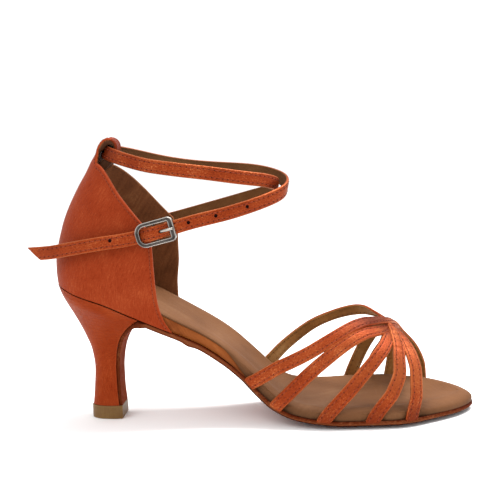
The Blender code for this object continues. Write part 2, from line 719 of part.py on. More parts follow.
def gather_core(material):
    """Lens of folded cloth that fills the place where the straps are gathered."""
    x, turn = np.array(GATHER_X), np.array(GATHER_TURN)
    along = unit(vamp_point(x + SLOPE_STEP, turn) - vamp_point(x - SLOPE_STEP, turn))
    around = unit(vamp_point(x, turn + TURN_STEP) - vamp_point(x, turn - TURN_STEP))
    outward = unit(np.cross(along, around))
    middle = vamp_point(x, turn) + outward * GATHER_LIFT
    ball = bmesh.new()
    bmesh.ops.create_uvsphere(ball, u_segments=CORE_SIDES, v_segments=CORE_RINGS, radius=1.0)
    axes = np.stack([along, np.cross(outward, along), outward]) * np.array(GATHER_SIZE)[:, None]
    points = [middle + np.array(v.co) @ axes for v in ball.verts]
    faces = [tuple(v.index for v in face.verts) for face in ball.faces]
    ball.free()
    return solid("gather_core", points, faces, material)


def strap_trim():
    """Helper solid below the level where the straps end on the outsole."""
    x = sole_stations(WELT, HEEL_ROWS[0][0] + FLAP_LEAD)[1:, None]
    wide = np.concatenate([[-TRIM_REACH], ACROSS, [TRIM_REACH]])[None, :]
    top = sole_point(x, wide, GAP, WELT)
    bottom = sole_point(x, wide, -TRIM_DEPTH, WELT)
    return slab("strap_trim", top, bottom, finish("suede"))


def hidden_tool(target, tool, operation):
    """Joins a helper solid to a part, or cuts it away, and hides the helper."""
    step = target.modifiers.new(tool.name, "BOOLEAN")
    step.operation = operation
    step.solver = "EXACT"
    step.object = tool
    tool.hide_render = True
    tool.display_type = "WIRE"


def vamp_straps():
    """All the forefoot straps, joined to one body where they cross."""
    satin = finish("satin")
    names = STRAP_COLUMNS[1:]
    made = [vamp_strap(name, satin) for name in names]
    whole = made[0]
    whole.name = "vamp_straps"
    for strap in made[1:] + [gather_core(satin)]:
        hidden_tool(whole, strap, "UNION")
    hidden_tool(whole, strap_trim(), "DIFFERENCE")
    return whole


def ankle_strap():
    """The long band: twice round the ankle, through the back loop and the buckle."""
    read = spline(ANKLE_ROWS, ANKLE_STEP)
    path = read[:, :3]
    run = unit(np.gradient(path, axis=0))
    lean = np.radians(read[:, 3])
    up = np.stack([np.sin(lean), np.zeros_like(lean), np.cos(lean)], axis=-1)
    across = unit(up - run * np.sum(up * run, axis=1, keepdims=True))
    outward = np.cross(across, run)
    made = sweep("ankle_strap", band_section(STRAP_WIDTH, STRAP_THICK), path, across, outward,
                 finish("satin"), TIP_SLANT)
    hidden_tool(made, buckle_box("strap_slot", STRAP_SLOT), "DIFFERENCE")
    return made


def buckle_place(points):
    """Points of the buckle's own frame (along, across, out) set on the shoe."""
    tilt = math.radians(BUCKLE_TILT)
    along = np.array([math.cos(tilt), 0.0, math.sin(tilt)])
    across = np.array([-math.sin(tilt), 0.0, math.cos(tilt)])
    out = np.array([0.0, -1.0, 0.0])
    points = np.asarray(points, dtype=float)
    return np.array(BUCKLE_PLACE) + points[:, :1] * along + points[:, 1:2] * across + points[:, 2:] * out


def buckle_box(name, size):
    """Box in the buckle's frame, as a helper solid."""
    (a0, a1), (b0, b1), (c0, c1) = size
    corners = [(a, b, c) for a in (a0, a1) for b in (b0, b1) for c in (c0, c1)]
    faces = [(0, 1, 3, 2), (4, 6, 7, 5), (0, 4, 5, 1), (2, 3, 7, 6), (0, 2, 6, 4), (1, 5, 7, 3)]
    return solid(name, buckle_place(corners), faces, finish("steel"))


def rod(name, path, radius, sides, material, closed=False, wide=None):
    """Round rod along a path in the buckle's frame, its section stretched by wide in the frame's plane."""
    path = np.asarray(path, dtype=float)
    if closed:
        run = unit(np.roll(path, -1, axis=0) - np.roll(path, 1, axis=0))
    else:
        run = unit(np.gradient(path, axis=0))
    turns = np.linspace(0.0, 2 * math.pi, sides, endpoint=False) + math.pi / sides
    points = []
    for i, middle in enumerate(path):
        guide = np.array([0.0, 0.0, 1.0]) if closed else np.array([0.0, 1.0, 0.0])
        if abs(run[i] @ guide) > NEARLY_ALONG:
            guide = np.array([1.0, 0.0, 0.0])
        first = unit(np.cross(guide, run[i]))
        second = np.cross(run[i], first)
        first = first * (wide[i] if wide is not None else 1.0)
        points += [middle + radius * (math.cos(a) * first + math.sin(a) * second) for a in turns]
    steps = len(path) if closed else len(path) - 1
    faces = [
        (i * sides + k, i * sides + (k + 1) % sides,
         ((i + 1) % len(path)) * sides + (k + 1) % sides, ((i + 1) % len(path)) * sides + k)
        for i in range(steps) for k in range(sides)
    ]
    if not closed:
        faces.append(tuple(range(sides)))
        faces.append(tuple((len(path) - 1) * sides + k for k in range(sides)))
    return solid(name, buckle_place(points), faces, material)


def buckle_frame():
    """Frame with a round rear end and a broad straight front rail, and its centre bar."""
    steel = finish("steel")
    long, tall = (BUCKLE_LONG - RAIL_WIDE) / 2, (BUCKLE_TALL - RAIL_WIDE) / 2
    path, wide = [], []
    for start, side_along, side_across, radius, broad in CORNER_ROWS:
        for turn in np.radians(np.linspace(start, start + 90.0, CORNER_STEPS + 1)):
            path.append((side_along * (long - radius) + radius * math.cos(turn),
                         side_across * (tall - radius) + radius * math.sin(turn), RAIL_OUT))
            wide.append(1.0 + broad * max(0.0, math.cos(turn)))
    frame = rod("buckle_frame", path, RAIL_WIDE / 2, ROD_SIDES, steel, closed=True, wide=wide)
    half_staple = [(tall, RAIL_OUT), (tall, BAR_OUT + BAR_CORNER), (tall - BAR_CORNER, BAR_OUT)]
    staple = [(0.0, -across, out) for across, out in half_staple]
    staple += [(0.0, across, out) for across, out in reversed(half_staple)]
    hidden_tool(frame, rod("centre_bar", staple, BAR_RADIUS, ROD_SIDES, steel), "UNION")
    return frame


def buckle_prong():
    """Pin hooked round the centre bar, its tip lying on the front rail."""
    hook = BAR_RADIUS + GAP + PRONG_RADIUS
    path = [
        (hook * math.cos(a), 0.0, BAR_OUT + hook * math.sin(a))
        for a in np.radians(np.linspace(PRONG_START, PRONG_LEAVE, HOOK_STEPS + 1))
    ]
    rest = RAIL_OUT + RAIL_WIDE / 2 + GAP + PRONG_RADIUS
    path += [(along, 0.0, rest - drop) for along, drop in PRONG_ROWS]
    return rod("buckle_prong", path, PRONG_RADIUS, ROD_SIDES, finish("steel"))


def buckle_tab():
    """Leather tab from the outer corner of the quarter, folded round the centre bar."""
    fold = BAR_RADIUS + GAP + BUCKLE_TAB_THICK / 2
    path = [(-TAB_TAIL, 0.0, BAR_OUT - fold), (-TAB_TAIL / 2, 0.0, BAR_OUT - fold)]
    path += [
        (fold * math.cos(a), 0.0, BAR_OUT + fold * math.sin(a))
        for a in np.radians(np.linspace(-90.0, TAB_CLOSE, FOLD_STEPS + 1))
    ]
    path = buckle_place(path)
    run = unit(np.gradient(path, axis=0))
    across = np.broadcast_to(buckle_place([(0.0, 1.0, 0.0)])[0] - np.array(BUCKLE_PLACE), run.shape)
    made = sweep("buckle_tab", band_section(BUCKLE_TAB_WIDTH, BUCKLE_TAB_THICK), path, across,
                 np.cross(across, run), finish("tab"))
    hidden_tool(made, buckle_box("tab_slot", TAB_SLOT), "DIFFERENCE")
    return made


def main():
    """Clears the scene and builds the shoe's pieces."""
    for old in list(bpy.data.objects):
        bpy.data.objects.remove(old, do_unlink=True)
    outsole()
    base = GAP
    layer("midsole", base, base + MIDSOLE_THICK, False, finish("board"))
    base += MIDSOLE_THICK + GAP
    layer("insole", base, base + INSOLE_THICK, True, finish("sock"))
    heel()
    heel_tip()
    quarter()
    vamp_straps()
    ankle_strap()
    buckle_frame()
    buckle_prong()
    buckle_tab()


main()
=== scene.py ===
"""Looks of a strappy dance sandal: satin straps and heel cup, suede sole, flared heel and buckle.

Lengths are millimetres in the shoe's own frame until a mesh is made: X runs from the back of the
heel to the toe, Y to the inner side of the foot, Z up from the floor.
"""

import logging
import math
from dataclasses import dataclass, field, replace
from enum import Enum, IntEnum
from typing import Callable, Iterable, Mapping, Optional, Sequence, Union

import bmesh
import bpy
import numpy as np
from mathutils import Matrix


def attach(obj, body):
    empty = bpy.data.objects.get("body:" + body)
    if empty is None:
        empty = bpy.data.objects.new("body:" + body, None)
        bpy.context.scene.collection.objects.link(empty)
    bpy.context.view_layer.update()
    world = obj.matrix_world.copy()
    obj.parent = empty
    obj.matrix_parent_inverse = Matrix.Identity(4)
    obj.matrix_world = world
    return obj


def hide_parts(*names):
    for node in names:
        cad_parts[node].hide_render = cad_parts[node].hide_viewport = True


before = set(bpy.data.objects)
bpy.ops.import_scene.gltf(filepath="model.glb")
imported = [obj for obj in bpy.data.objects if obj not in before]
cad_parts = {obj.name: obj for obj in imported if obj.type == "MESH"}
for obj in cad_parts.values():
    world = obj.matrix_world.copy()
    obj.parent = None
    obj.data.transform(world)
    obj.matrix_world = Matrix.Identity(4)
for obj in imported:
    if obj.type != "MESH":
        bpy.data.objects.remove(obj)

LOG = logging.getLogger("sandal")
MM = 0.001
ORIGIN = np.array([103.1, 5.7, 0.0])
BODY = "root"
CLOTH = "Cloth"
# Name of the point weight of the edge tone: above zero mostly painted highlights, below zero painted shade
FOLD = "fold"
SURFACE = "surface"
STUDIO_LIGHT = 1.5
HAZE = 0.008
DARKEST = 0.001
MERGE = 1e-6
SLIVER = 1e-7
ROUND_POINTS = 18
MEAN = 0.5

Array = np.ndarray
Colour = tuple[float, float, float]
Number = Union["Val", float]
Value = Union["Val", float, int, str, Sequence[float]]
Relief = Callable[[Array, Array], Array]


def dye(red: float, green: float, blue: float) -> Colour:
    """Colour of a surface that looks like a screen colour in the studio's light.

    Args:
        red, green, blue: Screen values from 0 to 255.

    Returns:
        The surface's colour in linear light.
    """
    screen = np.array([red, green, blue]) / 255.0
    # The standard curve of a screen
    linear = np.where(screen <= 0.04045, screen / 12.92, ((screen + 0.055) / 1.055) ** 2.4)
    return tuple((np.maximum(linear - HAZE, DARKEST) / STUDIO_LIGHT).tolist())


def deep(colour: Colour, share: float) -> Colour:
    """A darker copy of a colour, used for painted shade."""
    return tuple(share * part for part in colour)


def unit(vectors: Array) -> Array:
    """Vectors scaled to length one."""
    vectors = np.asarray(vectors, dtype=float)
    return vectors / np.maximum(np.linalg.norm(vectors, axis=-1, keepdims=True), 1e-12)


def arc(points: Array) -> Array:
    """Length along a line of points, at each of them."""
    return np.concatenate([[0.0], np.cumsum(np.linalg.norm(np.diff(points, axis=0), axis=1))])


def ease(t: Array) -> Array:
    """Smooth step from 0 to 1 over the same span."""
    t = np.clip(t, 0.0, 1.0)
    return t * t * (3 - 2 * t)


def hill(off: Array, spread: float) -> Array:
    """Soft hill of height one, its top where the distance is nothing."""
    return np.exp(-(off / spread) ** 2)


def grid(rows: int, columns: int) -> list[tuple[int, ...]]:
    """Faces of a grid of points, row by row."""
    starts = [i * columns + j for i in range(rows - 1) for j in range(columns - 1)]
    return [(k, k + 1, k + columns + 1, k + columns) for k in starts]


def slopes(xs: Array, ys: Array) -> Array:
    """Slopes of a curve through a table that neither overshoots nor ripples.

    Args:
        xs: Rising places.
        ys: Values at them.

    Returns:
        The slope at each place.
    """
    steps = np.diff(xs)
    rates = np.diff(ys) / steps
    found = np.zeros(len(xs))
    for i in range(1, len(xs) - 1):
        if rates[i - 1] * rates[i] > 0:
            before = 2 * steps[i] + steps[i - 1]
            after = steps[i] + 2 * steps[i - 1]
            found[i] = (before + after) / (before / rates[i - 1] + after / rates[i])
    found[0], found[-1] = rates[0], rates[-1]
    return found


def smooth(at: Array, xs: Array, ys: Array) -> Array:
    """Smooth curve through a table.

    Args:
        at: Places to read it at.
        xs: Rising places of the table.
        ys: Values of the table.

    Returns:
        The values read.
    """
    at = np.clip(np.asarray(at, dtype=float), xs[0], xs[-1])
    m = slopes(xs, ys)
    i = np.clip(np.searchsorted(xs, at, side="right") - 1, 0, len(xs) - 2)
    h = xs[i + 1] - xs[i]
    t = (at - xs[i]) / h
    start = (1 + 2 * t) * (1 - t) ** 2 * ys[i] + t * (1 - t) ** 2 * h * m[i]
    end = t * t * (3 - 2 * t) * ys[i + 1] + t * t * (t - 1) * h * m[i + 1]
    return start + end


def natural_curve(rows: Array, step: float) -> Array:
    """Points on a natural cubic curve through given points.

    Args:
        rows: Points, place first, with any further columns carried along.
        step: Longest distance between the points made.

    Returns:
        The points at the rows and between them.
    """
    rows = np.asarray(rows, dtype=float)
    knots = arc(rows[:, :3])
    size, h = len(rows), np.diff(knots)
    a, b = np.eye(size), np.zeros_like(rows)
    for i in range(1, size - 1):
        a[i, i - 1:i + 2] = h[i - 1], 2 * (h[i - 1] + h[i]), h[i]
        b[i] = 6 * ((rows[i + 1] - rows[i]) / h[i] - (rows[i] - rows[i - 1]) / h[i - 1])
    bend = np.linalg.solve(a, b)
    counts = np.ceil(h / step).astype(int) + 1
    spans = [np.linspace(knots[k], knots[k + 1], counts[k])[:-1] for k in range(size - 1)]
    at = np.concatenate(spans + [knots[-1:]])
    i = np.clip(np.searchsorted(knots, at, side="right") - 1, 0, size - 2)
    left = ((knots[i + 1] - at) / h[i])[:, None]
    right = ((at - knots[i]) / h[i])[:, None]
    gap = (h[i] ** 2 / 6.0)[:, None]
    straight = left * rows[i] + right * rows[i + 1]
    return straight + gap * ((left ** 3 - left) * bend[i] + (right ** 3 - right) * bend[i + 1])


@dataclass(frozen=True)
class Table:
    """A short table with named columns."""

    columns: tuple[str, ...]
    rows: tuple[tuple[float, ...], ...]

    def column(self, name: str) -> Array:
        """One named column."""
        place = self.columns.index(name)
        return np.array([row[place] for row in self.rows], dtype=float)

    def read(self, at: Array, along: str, name: str) -> Array:
        """One column read smoothly at places along another."""
        return smooth(at, self.column(along), self.column(name))


SOLE_TABLE = Table(("x", "feather", "centre", "half", "pad"), (
    (0.0, 73.2, 0.0, 25.0, 2.0), (7.0, 71.2, 0.0, 25.0, 2.2), (14.0, 68.6, 0.0, 25.0, 2.5),
    (27.0, 64.4, 0.0, 25.0, 2.9), (43.0, 57.4, 0.4, 25.6, 3.0), (56.0, 51.5, 0.7, 24.9, 2.3),
    (68.0, 46.0, 0.8, 23.7, 1.2), (78.0, 40.6, 0.5, 22.4, 0.7), (88.0, 33.4, 0.3, 22.1, 0.4),
    (98.0, 24.2, 0.3, 22.8, 0.2), (106.0, 15.6, 0.4, 24.6, 0.2), (114.0, 9.0, 0.7, 27.2, 0.2),
    (124.0, 5.0, 1.5, 31.4, 0.1), (136.0, 3.2, 3.1, 35.6, 0.0), (148.0, 2.4, 4.8, 38.0, 0.0),
    (164.0, 2.4, 6.0, 38.6, 0.0), (180.0, 2.4, 6.9, 38.0, 0.0), (195.0, 2.4, 8.0, 37.0, 0.0),
    (206.0, 2.4, 7.0, 37.0, 0.0), (217.0, 2.4, 5.5, 37.0, 0.0),
))

HEEL_TABLE = Table(("breast_x", "breast_z", "flap_thick", "flap_half", "back_x", "back_z", "half"), (
    (47.0, 51.4, 3.7, 25.4, 1.6, 72.4, 27.1), (44.4, 51.0, 2.2, 22.6, 3.3, 67.9, 25.4),
    (41.0, 49.1, 1.6, 18.8, 5.2, 63.6, 21.6), (38.0, 46.0, 1.5, 15.2, 8.0, 58.1, 17.6),
    (35.4, 41.9, 1.5, 11.8, 11.1, 51.8, 13.9), (33.7, 37.0, 1.5, 9.4, 14.3, 44.6, 11.0),
    (32.8, 31.5, 1.5, 8.0, 17.0, 36.6, 9.0), (32.3, 25.0, 1.5, 7.4, 18.1, 27.5, 8.0),
    (32.4, 16.0, 1.5, 7.2, 17.4, 17.0, 7.8), (33.0, 7.3, 1.5, 7.6, 16.3, 7.3, 8.2),
))

BACK_TABLE = Table(("z", "x"), (
    (72.0, 1.7), (76.0, 1.1), (80.0, 0.85), (84.0, 0.85), (92.0, 2.0), (102.0, 4.6), (112.0, 8.5),
    (122.0, 13.9), (130.0, 18.7), (138.0, 23.1), (144.0, 26.4),
))

FRONT_TABLE = Table(("rise", "lateral", "medial"), (
    (0.0, 63.6, 63.6), (0.14, 59.4, 60.4), (0.33, 56.9, 60.0), (0.60, 56.0, 61.2), (0.85, 55.4, 61.2),
    (1.0, 53.6, 59.2),
))

TAB_TABLE = Table(("x", "z", "half"), (
    (24.8, 138.6, 7.2), (27.2, 142.4, 6.4), (29.4, 145.2, 6.2), (32.0, 146.1, 6.2), (34.4, 144.8, 6.2),
    (35.2, 141.2, 6.2), (33.9, 137.0, 6.2), (30.8, 133.6, 6.2), (27.0, 131.0, 6.2), (23.4, 129.1, 6.2),
))

CREST_TABLE = Table(("x", "z"), (
    (100.0, 65.0), (120.0, 62.0), (140.0, 58.4), (154.0, 55.4), (160.0, 53.0), (165.0, 49.8), (170.0, 46.6),
    (175.0, 43.6), (180.0, 40.8), (190.0, 37.2), (205.0, 31.5),
))

STRAP_TABLE = Table(("turn", "first", "second", "third", "fourth", "fifth"), (
    (0.00, 101.5, 114.5, 138.8, 163.0, 182.2), (0.10, 114.4, 129.2, 154.6, 173.5, 185.1),
    (0.20, 134.8, 144.8, 164.6, 177.1, 185.2), (0.30, 151.4, 159.4, 170.5, 177.1, 183.4),
    (0.40, 163.8, 169.9, 173.4, 175.4, 179.9), (0.50, 172.4, 175.0, 175.0, 171.6, 175.6),
    (0.65, 178.8, 177.2, 175.6, 157.5, 170.6), (0.80, 187.8, 177.6, 173.2, 130.6, 164.4),
    (0.90, 191.2, 176.6, 167.6, 115.6, 158.4), (1.00, 191.8, 174.4, 160.2, 105.0, 151.2),
))

ANKLE_TABLE = Table(("x", "y", "z", "lean"), (
    (49.0, 28.6, 99.6, 0.0), (60.0, 29.4, 102.0, 0.0), (74.0, 28.2, 105.5, 0.0), (89.6, 24.6, 109.6, 0.0),
    (104.7, 18.0, 113.8, 4.0), (114.6, 9.0, 117.2, 8.0), (117.2, 0.0, 120.4, 8.0),
    (112.5, -8.0, 123.0, 6.0), (104.3, -15.0, 124.8, 3.0), (94.3, -20.5, 126.7, 0.0),
    (84.2, -24.0, 128.6, 0.0), (73.5, -25.0, 130.2, 0.0), (63.1, -23.8, 131.7, 0.0),
    (53.0, -20.4, 133.3, 4.0), (43.0, -15.0, 135.7, 12.0), (33.2, -8.0, 138.6, 24.0),
    (28.7, 0.0, 140.3, 30.0), (33.4, 9.0, 139.2, 24.0), (42.0, 14.6, 136.8, 12.0), (52.0, 20.0, 133.8, 4.0),
    (67.2, 25.6, 130.4, 0.0), (86.2, 26.4, 128.2, 0.0), (101.7, 21.8, 127.0, 2.0),
    (114.0, 14.4, 124.8, 6.0), (121.4, 6.0, 121.4, 10.0), (121.6, -2.6, 117.8, 10.0),
    (114.8, -10.6, 114.2, 6.0), (104.0, -17.6, 110.9, 2.0), (93.7, -22.2, 108.3, 0.0),
    (82.9, -26.0, 106.2, 0.0), (74.6, -29.0, 104.5, 0.0), (67.4, -30.4, 102.7, 0.0),
    (64.4, -31.0, 102.0, 0.0), (61.4, -32.6, 101.3, 0.0), (58.2, -33.6, 100.5, 0.0),
    (55.0, -32.6, 99.7, 0.0), (52.0, -31.0, 99.0, 0.0), (49.0, -30.5, 98.3, 0.0), (42.0, -30.8, 97.0, 0.0),
    (33.0, -30.6, 95.9, 0.0), (23.0, -29.0, 94.4, 0.0), (13.0, -25.8, 92.6, 0.0), (3.0, -21.8, 90.8, 0.0),
    (-6.6, -17.6, 89.8, 0.0),
))

# Soft creases of the forefoot straps: strap, place from the knot, place across, turn, depth and reach
CREASE_TABLE = Table(("strap", "along", "across", "angle", "depth", "width", "reach"), (
    (1, -9.0, -0.6, 8.0, 0.30, 0.55, 7.0), (1, -5.0, 1.4, -6.0, 0.34, 0.50, 6.0),
    (1, 4.0, 0.4, 10.0, 0.30, 0.55, 7.0), (2, -8.0, 0.6, -8.0, 0.32, 0.55, 6.0),
    (2, -13.0, -1.2, 12.0, 0.24, 0.60, 5.0), (2, 6.0, -0.5, 8.0, 0.28, 0.55, 6.0),
    (3, -7.0, -0.4, 6.0, 0.36, 0.50, 6.0), (3, -11.0, 1.4, -10.0, 0.28, 0.55, 5.0),
    (3, 7.0, 0.6, -8.0, 0.30, 0.55, 6.0), (4, -4.5, 0.0, 74.0, 0.30, 0.80, 3.0),
    (4, -8.0, 0.5, 102.0, 0.34, 0.85, 3.2), (4, -11.6, -0.4, 80.0, 0.30, 0.80, 3.0),
    (4, -15.6, 0.3, 98.0, 0.28, 0.90, 3.2), (4, -20.5, -0.5, 84.0, 0.24, 1.00, 3.0),
    (4, -26.5, 0.6, 96.0, 0.18, 1.10, 3.0), (4, 6.0, 0.2, 8.0, 0.30, 0.55, 6.0),
    (5, -7.5, 0.2, 80.0, 0.28, 0.85, 3.0), (5, -11.5, -0.3, 100.0, 0.30, 0.90, 3.2),
    (5, -16.5, 0.5, 82.0, 0.26, 0.95, 3.0), (5, -22.5, -0.4, 97.0, 0.20, 1.00, 3.0),
    (5, 6.0, -0.2, -6.0, 0.28, 0.55, 6.0),
))

# Punched holes of the ankle strap: distance from its tip and above its middle
PUNCH_TABLE = Table(("from_tip", "above"), (
    (45.0, 0.9), (59.4, 0.5), (86.5, 0.4), (101.1, 0.35), (117.1, 0.35),
))

# Corners of the buckle frame: start of the turn, sides it lies on, its radius and the rail's extra breadth
CORNER_TABLE = Table(("start", "along", "across", "radius", "broad"), (
    (0.0, 1, 1, 1.6, 0.35), (90.0, -1, 1, 4.0, 0.0), (180.0, -1, -1, 4.0, 0.0), (270.0, 1, -1, 1.6, 0.35),
))


# Wall of the midsole: distance in and height as a share of its thickness, each with what it changes by
# where the sock is drawn over it, and the share of the padding below
WALL_TABLE = Table(("inset", "drawn_in", "share", "offset", "drawn_down", "padding"), (
    (0.3, 0.0, 0.0, 0.0, 0.0, 0.0), (0.05, 0.0, 0.0, 0.2, 0.0, 0.0), (0.0, 0.6, 0.5, 0.0, 0.8, 0.5),
    (0.05, 2.0, 1.0, -0.2, 1.8, 1.0), (0.3, 5.0, 1.0, 0.0, 0.6, 1.0),
))

# Painted shadows of the straps on the sock: place, its length and width, and weight
STRAP_SHADOW_TABLE = Table(("x", "y", "length", "width", "weight"), (
    (176.5, 12.0, 4.5, 22.0, -0.8), (126.0, -8.0, 24.0, 26.0, -0.5), (186.5, -18.0, 6.0, 12.0, -0.4),
))

# Top piece of the heel from the floor up: height, distance in and weight of the lighter edges, a painted
# highlight along the lower edge and lighter near the top
TIP_TABLE = Table(("z", "inset", "edge_lightening"), (
    (0.0, 0.5, 0.0), (0.12, 0.2, 0.6), (0.5, 0.0, 0.8), (1.2, 0.0, 0.0), (6.1, 0.0, 0.0), (6.75, 0.0, 0.5),
    (7.0, 0.25, 0.3),
))

# Section of the buckle's rail, in halves of its breadth, and weight of its painted highlights on the rims and
# painted shade in the dish
RAIL_TABLE = Table(("across", "out", "edge_lightening"), (
    (-1.0, -0.75, 0.0), (-1.02, 0.05, 0.1), (-0.92, 0.42, 0.5), (-0.70, 0.50, 0.6), (-0.48, 0.34, -0.4),
    (0.05, 0.36, -0.7), (0.38, 0.62, -0.4), (0.62, 0.94, 0.4), (0.82, 1.0, 0.9), (0.98, 0.82, 0.8),
    (1.0, 0.40, 0.2), (1.0, -0.70, 0.0), (0.78, -0.98, 0.0), (-0.72, -0.98, 0.0),
))


class Side(Enum):
    """Sides of the foot."""

    LATERAL = "lateral"
    MEDIAL = "medial"

    @property
    def sign(self) -> float:
        """Sign of Y on this side."""
        return 1.0 if self is Side.MEDIAL else -1.0


class Layer(IntEnum):
    """Material places of a piece with a face and a back."""

    FACE = 0
    BACK = 1


class Skin(Enum):
    """Finishes of the shoe."""

    STRAP_SATIN = "strap_satin"
    QUARTER_SATIN = "quarter_satin"
    HEEL_SATIN = "heel_satin"
    CUP_LINING = "cup_lining"
    ANKLE_LINING = "ankle_lining"
    VAMP_LINING = "vamp_lining"
    SOCK = "sock_leather"
    WAIST = "waist_cover"
    SUEDE = "sole_suede"
    TIP = "tip_rubber"
    STEEL = "plated_steel"
    TAB = "tab_leather"
    STRAP_THREAD = "strap_thread"
    QUARTER_THREAD = "quarter_thread"
    NEEDLE = "needle_hole_shade"
    LINING_THREAD = "lining_thread"
    EDGE = "sole_edge"


class Val:
    """Shader socket that takes part in Python expressions."""

    def __init__(self, shader: "Shader", socket: bpy.types.NodeSocket) -> None:
        """Wraps a socket of a shader."""
        self.shader = shader
        self.socket = socket

    def _math(self, operation: str, first: Number, second: Number) -> "Val":
        """Adds a Math node."""
        return self.shader.node("ShaderNodeMath", {"operation": operation}, {0: first, 1: second})

    def __add__(self, other: Number) -> "Val":
        """Sum."""
        return self._math("ADD", self, other)

    __radd__ = __add__

    def __sub__(self, other: Number) -> "Val":
        """Difference."""
        return self._math("SUBTRACT", self, other)

    def __mul__(self, other: Number) -> "Val":
        """Product."""
        return self._math("MULTIPLY", self, other)

    __rmul__ = __mul__

    def clamp(self) -> "Val":
        """Held between 0 and 1."""
        return self.shader.node("ShaderNodeClamp", {}, {0: self})

    def band(self, low: float, high: float) -> "Val":
        """Smooth step from 0 at low to 1 at high."""
        return self.shader.node("ShaderNodeMapRange", {"interpolation_type": "SMOOTHSTEP"},
                                {0: self, 1: low, 2: high, 3: 0.0, 4: 1.0})


class Shader:
    """Node tree of one material with a Principled shader."""

    def __init__(self, name: str) -> None:
        """Makes a new material.

        Args:
            name: Name of the material.
        """
        self.material = bpy.data.materials.new(name)
        self.material.use_nodes = True
        self.tree = self.material.node_tree
        self.principled = self.tree.nodes["Principled BSDF"]

    def node(self, kind: str, settings: Optional[Mapping[str, object]] = None,
             sockets: Optional[Mapping[Union[int, str], Value]] = None, out: Union[int, str] = 0) -> Val:
        """Adds a node.

        Args:
            kind: The node's type.
            settings: Its properties, set first; "stops" gives a ramp's places and colours.
            sockets: Values or links of its inputs.
            out: The output wanted.

        Returns:
            That output.
        """
        made = self.tree.nodes.new(kind)
        for key, setting in (settings or {}).items():
            if key == "stops":
                for element, (place, colour) in zip(made.color_ramp.elements, setting):
                    element.position, element.color = place, (*colour, 1.0)
            else:
                setattr(made, key, setting)
        for key, value in (sockets or {}).items():
            if isinstance(value, Val):
                self.tree.links.new(value.socket, made.inputs[key])
            else:
                made.inputs[key].default_value = value
        return Val(self, made.outputs[out])

    def cloth(self, scale: Sequence[float]) -> Val:
        """The piece's own cloth coordinates, in repeats a metre along and across."""
        plain = self.node("ShaderNodeUVMap", {"uv_map": CLOTH})
        return self.node("ShaderNodeMapping", {}, {"Vector": plain, "Scale": (*scale, 1.0)})

    def place(self) -> Val:
        """Object coordinates."""
        return self.node("ShaderNodeTexCoord", {}, {}, "Object")

    def noise(self, vector: Val, scale: float, detail: float = 2.0, rough: float = 0.5) -> Val:
        """Soft noise from about 0 to 1."""
        return self.node("ShaderNodeTexNoise", {"noise_dimensions": "3D"},
                         {"Vector": vector, "Scale": scale, "Detail": detail, "Roughness": rough})

    def mix(self, factor: Number, first: Union[Val, Colour], second: Union[Val, Colour]) -> Val:
        """Mix of two colours.

        Args:
            factor: Share of the second colour.
            first, second: The colours.

        Returns:
            The mixed colour.
        """
        ends = [c if isinstance(c, Val) else (*c, 1.0) for c in (first, second)]
        return self.node("ShaderNodeMix", {"data_type": "RGBA", "clamp_factor": True},
                         {0: factor, 6: ends[0], 7: ends[1]}, 2)

    def weight(self, name: str) -> Val:
        """A number kept on the piece's points."""
        return self.node("ShaderNodeAttribute", {"attribute_name": name}, {}, "Fac")

    def lighten_and_shade(self, colour: Val, light: Colour, share: float, dark: Colour) -> Val:
        """Colour lightened where the edge weight is above zero, mostly as painted highlights, and darkened
        where it is below zero, as painted shade.
        """
        weight = self.weight(FOLD)
        return self.mix(-1.0 * weight, self.mix(share * weight, colour, light), dark)

    def finish(self, base: Val, rough: Number, height: Optional[Val], depth: float,
               constants: Mapping[str, object]) -> bpy.types.Material:
        """Links the surface.

        Args:
            base: Colour.
            rough: Roughness.
            height: Relief, or None.
            depth: Depth of the relief in metres.
            constants: Values that are the same all over, set on the shader's own sockets.

        Returns:
            The material.
        """
        self.tree.links.new(base.socket, self.principled.inputs["Base Color"])
        if isinstance(rough, Val):
            self.tree.links.new(rough.socket, self.principled.inputs["Roughness"])
        else:
            self.principled.inputs["Roughness"].default_value = rough
        if height is not None:
            bump = self.node("ShaderNodeBump", {}, {"Strength": 1.0, "Distance": depth, "Height": height})
            self.tree.links.new(bump.socket, self.principled.inputs["Normal"])
        for key, value in constants.items():
            self.principled.inputs[key].default_value = value
        return self.material


@dataclass(frozen=True)
class Pattern:
    """Noise of a finish; a pair of sizes runs along and across the cloth, a single one lies in space."""

    size: Union[float, tuple[float, float]]
    detail: float = 3.0
    grit: float = 0.5
    tone: float = 0.0
    matt: float = 0.0
    height: float = 0.0

    def draw(self, shader: Shader, place: Val) -> Val:
        """The noise itself."""
        on = (shader.cloth(self.size), 1.0) if isinstance(self.size, tuple) else (place, self.size)
        return shader.noise(*on, self.detail, self.grit)


